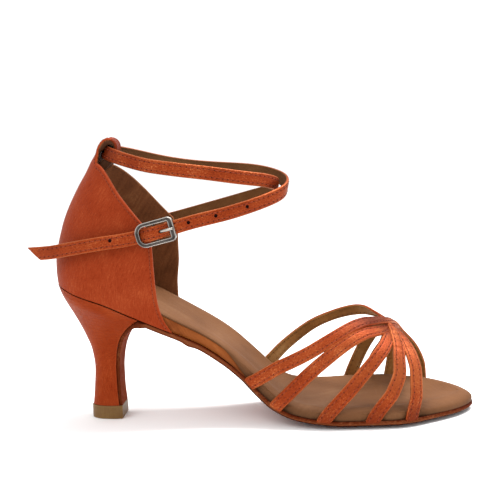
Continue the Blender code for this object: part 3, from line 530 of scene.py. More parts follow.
@dataclass(frozen=True)
class Dyed:
    """Finish in three tones of one colour, which follow a sum of patterns."""

    body: Colour
    shade: Colour
    light: Colour
    patterns: tuple[Pattern, ...] = ()
    rough: float = 0.5
    gloss: float = 0.3
    depth: float = 0.0001
    steps: tuple[float, ...] = (0.0, 0.5, 0.5, 1.0)
    # Share of the light colour where the edge weight is above zero, mostly painted highlights, and share of the
    # shade's brightness for the painted shade where it is below zero
    edge_lightening: float = 0.5
    painted_shade: float = 0.35
    cells: float = 0.0
    cell_soft: float = 0.6
    cell_height: float = 0.7

    def constants(self) -> dict[str, object]:
        """Values that are the same all over."""
        return {"Specular IOR Level": self.gloss}

    def make(self, name: str) -> bpy.types.Material:
        """The material of this finish, lightened where the edge weight is above zero, mostly as painted
        highlights, and darkened as painted shade where it is below zero.

        Args:
            name: Name of the material.

        Returns:
            The material.
        """
        shader = Shader(name)
        place = shader.place()
        drawn = [(pattern, pattern.draw(shader, place)) for pattern in self.patterns]
        tone = sum((pattern.tone * (noise - MEAN) for pattern, noise in drawn), MEAN).clamp()
        dark = shader.mix(tone.band(*self.steps[:2]), self.shade, self.body)
        colour = shader.mix(tone.band(*self.steps[2:]), dark, self.light)
        colour = shader.lighten_and_shade(colour, self.light, self.edge_lightening, deep(self.shade, self.painted_shade))
        rough = sum((pattern.matt * (noise - MEAN) for pattern, noise in drawn if pattern.matt), self.rough)
        heights = [noise if pattern.height == 1.0 else pattern.height * noise
                   for pattern, noise in drawn if pattern.height]
        if self.cells:
            heights.append(self.cell_height * shader.node("ShaderNodeTexVoronoi", {"feature": "SMOOTH_F1"}, {
                "Vector": place, "Scale": self.cells, "Smoothness": self.cell_soft}))
        return shader.finish(colour, rough, sum(heights[1:], heights[0]), self.depth, self.constants())


@dataclass(frozen=True)
class Satin(Dyed):
    """Dyed satin: long floats of thread, slubs and a soft shine."""

    patterns: tuple[Pattern, ...] = (
        Pattern((800.0, 2300.0), 2.0, 0.55, tone=1.1, height=1.0),
        Pattern((1500.0, 1700.0), 1.0, tone=0.75, matt=0.20, height=0.8),
        Pattern(75.0, tone=0.8, matt=0.10))
    rough: float = 0.40
    depth: float = 0.0002
    steps: tuple[float, ...] = (0.0, 0.55, 0.5, 1.0)
    edge_lightening: float = 0.45
    painted_shade: float = 0.55
    metallic: float = 0.45
    tint: Colour = (1.0, 0.62, 0.34)

    def constants(self) -> dict[str, object]:
        """Values that are the same all over."""
        return {"Metallic": self.metallic, "Specular IOR Level": self.gloss, "Specular Tint": (*self.tint, 1.0)}


@dataclass(frozen=True)
class Leather(Dyed):
    """Lining or sock leather: fine cells with pores, soft clouds of tone."""

    patterns: tuple[Pattern, ...] = (
        Pattern(1350.0, 3.0, 0.6, tone=0.35, matt=0.16, height=1.0),
        Pattern(60.0, 4.0, 0.55, tone=1.1),
        Pattern((60.0, 500.0), tone=0.25))
    rough: float = 0.62
    gloss: float = 0.12
    steps: tuple[float, ...] = (0.05, 0.55, 0.5, 0.95)
    edge_lightening: float = 0.3
    cells: float = 1500.0


@dataclass(frozen=True)
class Suede(Dyed):
    """Brushed suede: open nap, fibres that catch the light, trodden patches."""

    patterns: tuple[Pattern, ...] = (
        Pattern(1100.0, 3.0, 0.7, tone=0.9, matt=0.1, height=1.0),
        Pattern((260.0, 900.0), 3.0, 0.6, tone=0.6, height=0.6),
        Pattern(45.0, 4.0, 0.6, tone=0.9))
    rough: float = 0.87
    gloss: float = 0.05
    depth: float = 0.00035
    steps: tuple[float, ...] = (0.0, 0.5, 0.48, 0.9)
    edge_lightening: float = 0.8
    sheen: float = 0.04
    sheen_rough: float = 0.7

    def constants(self) -> dict[str, object]:
        """Values that are the same all over."""
        return {"Sheen Weight": self.sheen, "Sheen Roughness": self.sheen_rough,
                "Sheen Tint": (*self.light, 1.0), "Specular IOR Level": self.gloss}


@dataclass(frozen=True)
class Rubber(Dyed):
    """Hard rubber of the top piece, with the fine marks of trimming."""

    patterns: tuple[Pattern, ...] = (
        Pattern((120.0, 2200.0), 2.0, tone=0.5, height=1.0),
        Pattern(1600.0, 2.0, 0.6, tone=0.45, matt=0.2, height=0.5),
        Pattern(120.0, tone=0.7))
    gloss: float = 0.4
    depth: float = 0.00006


@dataclass(frozen=True)
class Plated:
    """Plated steel with painted highlights on its rims and painted shade in its dish."""

    body: Colour
    haze: Colour
    bright: Colour
    # Share of the haze colour's brightness for the painted shade
    painted_shade: float = 0.45
    cloud: float = 420.0
    fine: float = 2600.0
    haze_steps: tuple[float, float] = (0.35, 0.75)
    rough: float = 0.24
    dull: float = 0.14
    dull_steps: tuple[float, float] = (0.4, 0.8)
    uneven: float = 0.05
    depth: float = 0.00002

    def make(self, name: str) -> bpy.types.Material:
        """The material of this finish.

        Args:
            name: Name of the material.

        Returns:
            The material.
        """
        shader = Shader(name)
        place = shader.place()
        cloud = shader.noise(place, self.cloud, detail=3.0, rough=0.6)
        fine = shader.noise(place, self.fine, detail=2.0)
        colour = shader.mix(cloud.band(*self.haze_steps), self.body, self.haze)
        colour = shader.lighten_and_shade(colour, self.bright, 1.0, deep(self.haze, self.painted_shade))
        rough = self.rough + self.dull * cloud.band(*self.dull_steps) + self.uneven * fine
        return shader.finish(colour, rough, fine, self.depth, {"Metallic": 1.0})


@dataclass(frozen=True)
class Thread:
    """Twisted sewing thread, or the shadow in a needle hole."""

    body: Colour
    shade: Colour
    rough: float = 0.6
    twist: float = 3200.0
    steps: tuple[float, float] = (0.3, 0.7)
    depth: float = 0.00004
    gloss: float = 0.3

    def make(self, name: str) -> bpy.types.Material:
        """The material of this finish.

        Args:
            name: Name of the material.

        Returns:
            The material.
        """
        shader = Shader(name)
        twist = shader.noise(shader.place(), self.twist, detail=1.0)
        colour = shader.mix(twist.band(*self.steps), self.shade, self.body)
        return shader.finish(colour, self.rough, twist, self.depth, {"Specular IOR Level": self.gloss})


SMOOTH_THREADS = (replace(Satin.patterns[0], size=(260.0, 1700.0)), *Satin.patterns[1:])
PORES, CLOUDS, LINES = Leather.patterns

FINISHES: Mapping[Skin, object] = {
    Skin.STRAP_SATIN: Satin(dye(160, 63, 32), dye(108, 33, 14), dye(214, 124, 74)),
    Skin.QUARTER_SATIN: Satin(dye(160, 64, 38), dye(137, 48, 28), dye(184, 87, 52), SMOOTH_THREADS,
                              rough=0.5, metallic=0.10, gloss=0.08),
    Skin.HEEL_SATIN: Satin(dye(160, 65, 36), dye(137, 48, 27), dye(184, 88, 50), SMOOTH_THREADS,
                           rough=0.5, metallic=0.10, gloss=0.06),
    Skin.CUP_LINING: Leather(dye(128, 77, 46), dye(90, 52, 30), dye(176, 120, 78),
                             (PORES, CLOUDS, replace(LINES, tone=0.6))),
    Skin.ANKLE_LINING: Leather(dye(112, 72, 42), dye(82, 48, 27), dye(142, 98, 60)),
    Skin.VAMP_LINING: Leather(dye(178, 122, 68), dye(130, 84, 43), dye(222, 176, 118)),
    Skin.SOCK: Leather(dye(135, 91, 60), dye(110, 71, 45), dye(156, 112, 79),
                       (replace(PORES, size=1170.0), replace(CLOUDS, size=42.0),
                        Pattern((30.0, 220.0), tone=0.4)),
                       rough=0.74, depth=0.00014, cells=1300.0),
    Skin.WAIST: Leather(dye(156, 85, 40), dye(126, 62, 27), dye(178, 106, 55),
                        (replace(PORES, size=1530.0), replace(CLOUDS, size=80.0),
                         Pattern((90.0, 900.0), tone=0.6)),
                        rough=0.6, depth=0.00008, cells=1700.0),
    Skin.SUEDE: Suede(dye(146, 60, 28), dye(104, 36, 14), dye(188, 108, 66)),
    Skin.TIP: Rubber(dye(124, 87, 38), dye(98, 66, 27), dye(154, 120, 62)),
    Skin.STEEL: Plated(dye(114, 108, 103), dye(86, 81, 79), dye(206, 199, 190)),
    Skin.TAB: Leather(dye(140, 56, 32), dye(104, 34, 20), dye(176, 88, 54)),
    Skin.STRAP_THREAD: Thread(dye(178, 76, 44), dye(132, 46, 26)),
    Skin.QUARTER_THREAD: Thread(dye(158, 74, 38), dye(110, 45, 22)),
    # Dark beads in the needle holes and the walls of the punched holes: painted shade
    Skin.NEEDLE: Thread(dye(72, 26, 14), dye(50, 18, 10), 0.9),
    Skin.LINING_THREAD: Thread(dye(150, 104, 52), dye(104, 68, 30)),
    Skin.EDGE: Suede(dye(96, 41, 23), dye(68, 27, 14), dye(156, 95, 62)),
}


class Wardrobe:
    """Makes each finish once and hands it out."""

    def __init__(self) -> None:
        """Starts with nothing made."""
        self.made: dict[Skin, bpy.types.Material] = {}

    def get(self, skin: Skin) -> bpy.types.Material:
        """The material of a finish.

        Args:
            skin: The finish.

        Returns:
            Its material, made at the first call.
        """
        if skin not in self.made:
            self.made[skin] = FINISHES[skin].make(skin.value)
        return self.made[skin]

    def several(self, *skins: Skin) -> list[bpy.types.Material]:
        """The materials of several finishes, in order."""
        return [self.get(skin) for skin in skins]


class Cloth:
    """Gathers sheets of points, with their cloth coordinates and finish, into one mesh."""

    def __init__(self) -> None:
        """Starts empty."""
        self.points: list[Array] = []
        self.faces: list[tuple[int, ...]] = []
        self.layers: list[int] = []
        self.coordinates: list[Array] = []
        self.folds: list[Array] = []
        self.size = 0

    def add(self, points: Array, faces: Iterable[Sequence[int]], layers: Iterable[int],
            coordinates: Array, folds: Optional[Array] = None) -> None:
        """Adds points and the faces on them.

        Args:
            points: Places in millimetres.
            faces: Indices of each face's points.
            layers: Material place of each face.
            coordinates: Cloth coordinates of the points in millimetres.
            folds: Weight of the edge tone at the points; above zero mostly painted highlights, below zero
                painted shade.
        """
        self.faces += [tuple(k + self.size for k in face) for face in faces]
        self.layers += [int(layer) for layer in layers]
        self.points.append(np.asarray(points, dtype=float))
        self.coordinates.append(np.asarray(coordinates, dtype=float))
        self.folds.append(np.zeros(len(points)) if folds is None else np.asarray(folds, dtype=float))
        self.size += len(points)

    def loops(self, rings: Array, layers: Optional[Array] = None, folds: Optional[Array] = None,
              caps: tuple[bool, bool] = (True, True)) -> None:
        """Adds a skin through closed rings of points.

        Args:
            rings: Points by ring and place round it.
            layers: Material place of each span round the ring.
            folds: Weight of the edge tone, above zero mostly painted highlights and below zero painted shade,
                by ring and place, or by place alone.
            caps: Whether the first and last rings are closed.
        """
        count, around = rings.shape[:2]
        shut = np.concatenate([rings, rings[:, :1]], axis=1)
        along = arc(rings.mean(axis=1))
        girth = np.stack([arc(ring) for ring in shut])
        coordinates = np.stack([np.broadcast_to(along[:, None], girth.shape), girth], axis=-1)
        layers = np.zeros(around, dtype=int) if layers is None else layers
        folds = np.zeros((count, around)) if folds is None else np.broadcast_to(folds, (count, around))
        folds = np.concatenate([folds, folds[:, :1]], axis=1)
        width = around + 1
        faces, places = grid(count, width), list(layers) * (count - 1)
        for wanted, ring in zip(caps, (0, count - 1)):
            if wanted:
                faces.append(tuple(ring * width + j for j in range(around)))
                places.append(0)
        self.add(shut.reshape(-1, 3), faces, places, coordinates.reshape(-1, 2), folds.reshape(-1))

    def build(self, name: str, materials: Sequence[bpy.types.Material],
              sharp: float = 50.0) -> bpy.types.Object:
        """Makes the object, its doubles merged and its faces outwards.

        Args:
            name: Name of the piece.
            materials: Its materials, by place.
            sharp: Angle in degrees past which an edge stays sharp.

        Returns:
            The object, at the origin.
        """
        mesh = bpy.data.meshes.new(name)
        points = (np.concatenate(self.points) - ORIGIN) * MM
        mesh.from_pydata(points.tolist(), [], self.faces)
        corners = np.zeros(len(mesh.loops), dtype=np.int32)
        mesh.loops.foreach_get("vertex_index", corners)
        cloth = mesh.uv_layers.new(name=CLOTH)
        coordinates = np.concatenate(self.coordinates)[corners] * MM
        cloth.data.foreach_set("uv", coordinates.astype(np.float32).ravel())
        fold = mesh.attributes.new(FOLD, "FLOAT", "POINT")
        fold.data.foreach_set("value", np.concatenate(self.folds).astype(np.float32))
        mesh.polygons.foreach_set("material_index", np.array(self.layers, dtype=np.int32))
        work = bmesh.new()
        work.from_mesh(mesh)
        bmesh.ops.remove_doubles(work, verts=work.verts, dist=MERGE)
        bmesh.ops.dissolve_degenerate(work, dist=SLIVER, edges=work.edges)
        bmesh.ops.recalc_face_normals(work, faces=work.faces)
        work.to_mesh(mesh)
        work.free()
        return put(name, mesh, materials, sharp)


def link(name: str, data: bpy.types.ID) -> bpy.types.Object:
    """Links data as an object at the origin.

    Args:
        name: Name of the object.
        data: Its mesh, camera or lamp.

    Returns:
        The object.
    """
    made = bpy.data.objects.new(name, data)
    bpy.context.scene.collection.objects.link(made)
    return made


def put(name: str, mesh: bpy.types.Mesh, materials: Sequence[bpy.types.Material],
        sharp: float) -> bpy.types.Object:
    """Makes a smooth object of a mesh.

    Args:
        name: Name of the object.
        mesh: Its mesh.
        materials: Materials to add to the mesh.
        sharp: Angle in degrees past which an edge stays sharp.

    Returns:
        The object.
    """
    for material in materials:
        mesh.materials.append(material)
    mesh.polygons.foreach_set("use_smooth", np.ones(len(mesh.polygons), dtype=bool))
    mesh.set_sharp_from_angle(angle=math.radians(sharp))
    return link(name, mesh)


def settle(piece: bpy.types.Object, slot: str, *nodes: str) -> None:
    """Lets a piece ride on the shoe and stand for CAD nodes.

    Args:
        piece: The piece.
        slot: The record's material slot; not used.
        nodes: Nodes that it stands for.
    """
    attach(piece, BODY)
    if nodes:
        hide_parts(*nodes)
    LOG.info("%s: %d faces", piece.name, len(piece.data.polygons))


def plain(piece: bpy.types.Object) -> bpy.types.Object:
    """Turns a piece's modifiers into plain mesh.

    Args:
        piece: The piece, changed in place.

    Returns:
        The same piece.
    """
    graph = bpy.context.evaluated_depsgraph_get()
    mesh = bpy.data.meshes.new_from_object(piece.evaluated_get(graph), preserve_all_data_layers=True,
                                           depsgraph=graph)
    piece.modifiers.clear()
    piece.data = mesh
    return piece


@dataclass(frozen=True)
class Form:
    """The last: curves that the sole, the heel cup and the straps share."""

    back: float = 3.7
    tip: float = 214.8
    heel_round: float = 26.0
    heel_power: float = 2.2
    toe_round: float = 42.0
    toe_power: float = 1.6
    lift: float = 1.0
    lift_from: float = 0.5
    lift_span: tuple[float, float] = (55.0, 110.0)
    inner_rim: float = 1.1
    vamp_power: float = 2.3
    gap: float = 0.3
    strap_thick: float = 1.5
    end_steps: int = 26
    slope_step: float = 0.5
    sole_steps: int = 84
    outsole_steps: int = 80

    @staticmethod
    def round_end(distance: Array, length: float, power: float) -> Array:
        """Share of the full width left near a rounded end."""
        t = np.clip(distance / length, 0.0, 1.0)
        return (1 - (1 - t) ** power) ** (1 / power)

    def share(self, x: Array, margin: float) -> Array:
        """Share of the sole's full width at a place along the foot."""
        heel = self.round_end(x - self.back + margin, self.heel_round, self.heel_power)
        return heel * self.round_end(self.tip + margin - x, self.toe_round, self.toe_power)

    def outline(self, x: Array, margin: float = 0.0) -> tuple[Array, Array]:
        """Middle and half width of the sole at a place along the foot."""
        full = SOLE_TABLE.read(x, "x", "half") + margin
        return SOLE_TABLE.read(x, "x", "centre"), full * self.share(x, margin)

    def feather(self, x: Array) -> Array:
        """Height of the feather line."""
        return SOLE_TABLE.read(x, "x", "feather")

    def normal(self, x: Array) -> Array:
        """Upward normal of the feather line in the X Z plane."""
        rise = self.feather(x + self.slope_step) - self.feather(x - self.slope_step)
        return unit(np.stack([-rise, np.ones_like(rise)], axis=-1))

    def edge_lift(self, x: Array, t: Array) -> Array:
        """Lift of the sole's edge above its middle, nothing under the heel.

        Args:
            x: Place along the foot.
            t: Place across, from -1 to 1.

        Returns:
            The lift.
        """
        start, full = self.lift_span
        side = np.clip((np.abs(t) - self.lift_from) / (1 - self.lift_from), 0.0, 1.0)
        return self.lift * ease((x - start) / (full - start)) * side ** 2

    def padding(self, x: Array, t: float, margin: Array) -> Array:
        """Padding under the sock, thick at the heel, with a low rim along the inner edge."""
        rim = self.inner_rim * max(t, 0.0) ** 2
        return SOLE_TABLE.read(x, "x", "pad") + rim * self.share(x, margin)

    def sole_point(self, x: Array, t: Array, level: Array, margin: float = 0.0) -> Array:
        """Point on a layer of the sole.

        Args:
            x: Place along the foot.
            t: Place across, from -1 to 1.
            level: Height above the feather line.
            margin: Growth of the outline.

        Returns:
            The points.
        """
        centre, half = self.outline(x, margin)
        normal = self.normal(x)
        up = level + self.edge_lift(x, 1 - (1 - np.abs(t)) * self.share(x, margin))
        parts = (x + normal[..., 0] * up, centre + t * half, self.feather(x) + normal[..., 1] * up)
        return np.stack(np.broadcast_arrays(*parts), axis=-1)

    def stations(self, margin: float, back: Optional[float] = None) -> Array:
        """Places along the sole, from the toe back to a place or to the rounded heel.

        Args:
            margin: Growth of the outline.
            back: Where the layer ends, or None for the rounded heel.

        Returns:
            Places along the foot.
        """
        turn = np.linspace(0.0, math.pi / 2, self.end_steps)
        toe = self.tip + margin - self.toe_round * (1 - np.cos(turn))
        if back is not None:
            return np.concatenate([toe, np.linspace(toe[-1], back, self.outsole_steps)[1:]])
        heel = self.back - margin + self.heel_round * (1 - np.cos(turn[::-1]))
        return np.concatenate([toe, np.linspace(toe[-1], heel[0], self.sole_steps)[1:], heel[1:]])

    def vamp_point(self, x: Array, turn: Array) -> Array:
        """Place of a strap's middle on the forefoot, turn running from the outer to the inner side.

        Args:
            x: Place along the foot.
            turn: Place over it, from 0 to 1.

        Returns:
            The points.
        """
        centre, half = self.outline(x, self.gap + self.strap_thick / 2)
        base = self.feather(x) + self.edge_lift(x, np.ones_like(x)) + self.gap
        crest = CREST_TABLE.read(x, "x", "z")
        c, s = -np.cos(math.pi * turn), np.sin(math.pi * turn)
        y = centre + half * np.sign(c) * np.abs(c) ** (2 / self.vamp_power)
        z = base + (crest - base) * np.abs(s) ** (2 / self.vamp_power)
        return np.stack([x, y, z], axis=-1)


@dataclass(frozen=True)
class Row:
    """A line of stitching on a surface."""

    points: Array
    normals: Array


@dataclass
class Stitching:
    """Sewing made by Geometry Nodes: threads along a line and, between them, dark beads of painted shade for
    the needle holes.
    """

    pitch: float = 2.8
    length: float = 2.0
    width: float = 0.36
    height: float = 0.24
    hole: float = 0.60
    jitter: float = 0.06
    seed: int = 7
    bead_sides: int = 8
    bead_rings: int = 5
    hole_height: float = 0.45
    sizes: tuple[str, ...] = ("pitch", "length", "width", "height", "hole")
    tree: Optional[bpy.types.NodeTree] = None
    sockets: dict[str, str] = field(default_factory=dict)

    def grow(self) -> bpy.types.NodeTree:
        """Builds the node tree once.

        Returns:
            The tree, with its inputs listed in sockets.
        """
        self.tree = tree = bpy.data.node_groups.new("stitch_row", "GeometryNodeTree")
        wanted = {"Line": "Geometry", **{size.title(): "Float" for size in (*self.sizes, "jitter")},
                  "Seed": "Int", "Thread": "Material", "Shadow": "Material"}
        for name, kind in wanted.items():
            given = tree.interface.new_socket(name=name, in_out="INPUT", socket_type=f"NodeSocket{kind}")
            self.sockets[name] = given.identifier
        tree.interface.new_socket(name="Sewing", in_out="OUTPUT", socket_type="NodeSocketGeometry")

        def add(kind: str, links: Mapping[Union[int, str], object], out: int = 0,
                **settings: object) -> bpy.types.NodeSocket:
            """Adds a node, sets it, links its inputs and hands out one output.

            Args:
                kind: The node's type.
                links: Links or values of its inputs.
                out: The output wanted.
                settings: Its properties.

            Returns:
                That output.
            """
            made = tree.nodes.new(kind)
            for key, setting in settings.items():
                setattr(made, key, setting)
            for key, value in links.items():
                if isinstance(value, bpy.types.NodeSocket):
                    tree.links.new(value, made.inputs[key])
                else:
                    made.inputs[key].default_value = value
            return made.outputs[out]

        def times(value: bpy.types.NodeSocket, factor: float) -> bpy.types.NodeSocket:
            """Product of an input and a number."""
            return add("ShaderNodeMath", {0: value, 1: factor}, operation="MULTIPLY")

        def vector(operation: str, **links: bpy.types.NodeSocket) -> bpy.types.NodeSocket:
            """Vector Math node of two vectors, or of one and a scale."""
            places = {"first": 0, "second": 1, "scale": "Scale"}
            return add("ShaderNodeVectorMath", {places[k]: v for k, v in links.items()}, operation=operation)

        given = tree.nodes.new("NodeGroupInput").outputs
        line = add("GeometryNodeMeshToCurve", {"Mesh": given["Line"]})
        steps = add("GeometryNodeResampleCurve", {"Curve": line, "Length": given["Pitch"]}, mode="LENGTH")
        tangent = add("GeometryNodeInputTangent", {})
        lie = add("GeometryNodeInputNamedAttribute", {"Name": SURFACE}, data_type="FLOAT_VECTOR")
        sway = add("FunctionNodeRandomValue", {2: times(given["Jitter"], -1.0), 3: given["Jitter"],
                                               "Seed": given["Seed"]}, 1, data_type="FLOAT")
        side = vector("CROSS_PRODUCT", first=lie, second=tangent)
        ahead = vector("ADD", first=tangent, second=vector("SCALE", first=side, scale=sway))
        turned = add("FunctionNodeAxesToRotation", {0: lie, 1: ahead}, primary_axis="Z", secondary_axis="X")
        bead = add("GeometryNodeMeshUVSphere",
                   {"Segments": self.bead_sides, "Rings": self.bead_rings, "Radius": 0.5})
        long = add("ShaderNodeCombineXYZ", {0: given["Length"], 1: given["Width"], 2: given["Height"]})
        step = vector("SCALE", first=tangent, scale=times(given["Pitch"], 0.5))
        between = add("GeometryNodeSetPosition", {"Geometry": steps, "Offset": step})
        low = times(given["Hole"], self.hole_height)
        flat = add("ShaderNodeCombineXYZ", {0: given["Hole"], 1: given["Hole"], 2: low})
        whole = tree.nodes.new("GeometryNodeJoinGeometry")
        for points, size, material in ((steps, long, "Thread"), (between, flat, "Shadow")):
            beads = add("GeometryNodeInstanceOnPoints",
                        {"Points": points, "Instance": bead, "Rotation": turned, "Scale": size})
            real = add("GeometryNodeRealizeInstances", {"Geometry": beads})
            sleek = add("GeometryNodeSetShadeSmooth", {"Geometry": real})
            sewn = add("GeometryNodeSetMaterial", {"Geometry": sleek, "Material": given[material]})
            tree.links.new(sewn, whole.inputs[0])
        tree.links.new(whole.outputs[0], tree.nodes.new("NodeGroupOutput").inputs[0])
        return tree

    def sew(self, name: str, rows: Sequence[Row], thread: bpy.types.Material, shadow: bpy.types.Material,
            **sizes: float) -> bpy.types.Object:
        """Sews rows of stitches.

        Args:
            name: Name of the piece.
            rows: Lines to sew along.
            thread: Finish of the thread.
            shadow: Finish of the needle holes.
            sizes: Sizes that differ from this object's own.

        Returns:
            The stitches as one plain mesh.
        """
        tree = self.tree or self.grow()
        points = (np.concatenate([row.points for row in rows]) - ORIGIN) * MM
        edges, start = [], 0
        for row in rows:
            edges += [(start + i, start + i + 1) for i in range(len(row.points) - 1)]
            start += len(row.points)
        mesh = bpy.data.meshes.new(name)
        mesh.from_pydata(points.tolist(), edges, [])
        lie = mesh.attributes.new(SURFACE, "FLOAT_VECTOR", "POINT")
        normals = np.concatenate([row.normals for row in rows])
        lie.data.foreach_set("vector", normals.astype(np.float32).ravel())
        piece = link(name, mesh)
        sewing = piece.modifiers.new("sewing", "NODES")
        sewing.node_group = tree
        inputs = {size.title(): sizes.get(size, getattr(self, size)) * MM for size in self.sizes}
        inputs.update(Jitter=self.jitter, Seed=self.seed, Thread=thread, Shadow=shadow)
        for key, value in inputs.items():
            sewing[self.sockets[key]] = value
        return plain(piece)


@dataclass(frozen=True)
class Band:
    """Satin band folded over a lining: its cross section and how it is carried along a path."""

    width: float = 7.0
    thick: float = 1.5
    fold: float = 0.62
    crown: float = 0.24
    inset: float = 1.6
    groove: float = 0.14
    lining_inset: float = 0.75
    lining_drop: float = 0.14
    pucker: float = 0.0
    pucker_pitch: float = 2.8
    pucker_width: float = 0.9
    groove_width: float = 0.38
    outer_from: float = 0.1
    thread_sink: float = 0.35
    fold_turn: tuple[float, float] = (-82.0, 74.0)
    fold_highlights: tuple[tuple[float, float], ...] = ((0.75, 0.5), (-0.8, 0.4))
    counts: tuple[int, int, int, int] = (7, 10, 23, 3)

    def section(self) -> tuple[Array, Array, Array]:
        """Cross section.

        Returns:
            Points across and outwards, the material place of each span, and the weight of the painted highlight
            on the folded edges.
        """
        side, out = self.width / 2, self.thick / 2
        lined, turned, wide, raw = self.counts
        flat = np.linspace(self.lining_inset - side, side - self.lining_inset, lined)
        lining = np.stack([flat, np.full(lined, self.lining_drop - out)], axis=-1)
        turn = np.radians(np.linspace(*self.fold_turn, turned))
        right = np.stack([side - self.fold + self.fold * np.cos(turn), out * np.sin(turn)], axis=-1)
        across = np.linspace(side - self.fold, self.fold - side, wide)
        rows = hill(np.abs(across) - (side - self.inset), self.groove_width)
        face = np.stack([across, out + self.crown * (1 - (across / side) ** 2) - self.groove * rows], axis=-1)
        left = right[::-1] * np.array([-1.0, 1.0])
        points = np.concatenate([lining, right, face, left])
        layers = np.full(len(points), Layer.FACE)
        layers[:lined - 1 + raw] = layers[-raw:] = Layer.BACK
        # Painted highlight along both folded edges
        light = sum(hill(turn - place, spread) for place, spread in self.fold_highlights)
        return points, layers, np.concatenate([np.zeros(lined), light, np.zeros(wide), light[::-1]])

    def rings(self, path: Array, across: Array, outward: Array, lean: Array,
              relief: Relief) -> Array:
        """The section carried along a path.

        Args:
            path: Middle of the band.
            across: Its direction across, whose length scales the width.
            outward: Its outward direction.
            lean: Shear of the section along the path, at each point.
            relief: Height added to the outer face by place along and across.

        Returns:
            Rings of points.
        """
        section = self.section()[0]
        s, o = section[:, 0], section[:, 1]
        run = unit(np.gradient(path, axis=0))
        outer = np.clip(o / (self.thick / 2) + self.outer_from, 0.0, 1.0)
        sewn = hill(np.abs(s) - (self.width / 2 - self.inset), self.pucker_width) * (o < 0)
        pucker = self.pucker * np.cos(arc(path) * (2 * math.pi / self.pucker_pitch))[:, None] * sewn[None, :]
        height = o[None, :] + relief(arc(path), s) * outer[None, :] - pucker
        return (path[:, None] + across[:, None] * s[None, :, None] + outward[:, None] * height[..., None]
                + run[:, None] * (lean[:, None] * s[None, :])[..., None])

    def rows(self, path: Array, across: Array, outward: Array, start: float, stop: float,
             relief: Relief, side: Layer = Layer.FACE) -> list[Row]:
        """Lines of stitching near both edges.

        Args:
            path, across, outward: As for rings.
            start, stop: Lengths left unsewn at the ends.
            relief: As for rings.
            side: The face or the lining.

        Returns:
            The two lines.
        """
        along = arc(path)
        keep = (along >= start) & (along <= along[-1] - stop)
        made = []
        for s in (self.width / 2 - self.inset, self.inset - self.width / 2):
            crown = self.crown * (1 - (2 * s / self.width) ** 2)
            height = self.thick / 2 + crown - self.groove * self.thread_sink
            height = height + relief(along, np.array([s]))[:, 0]
            if side is Layer.BACK:
                height = np.full(len(along), self.lining_drop - self.thick / 2)
            line = path + across * s + outward * height[:, None]
            made.append(Row(line[keep], unit(outward)[keep] * (-1.0 if side is Layer.BACK else 1.0)))
        return made


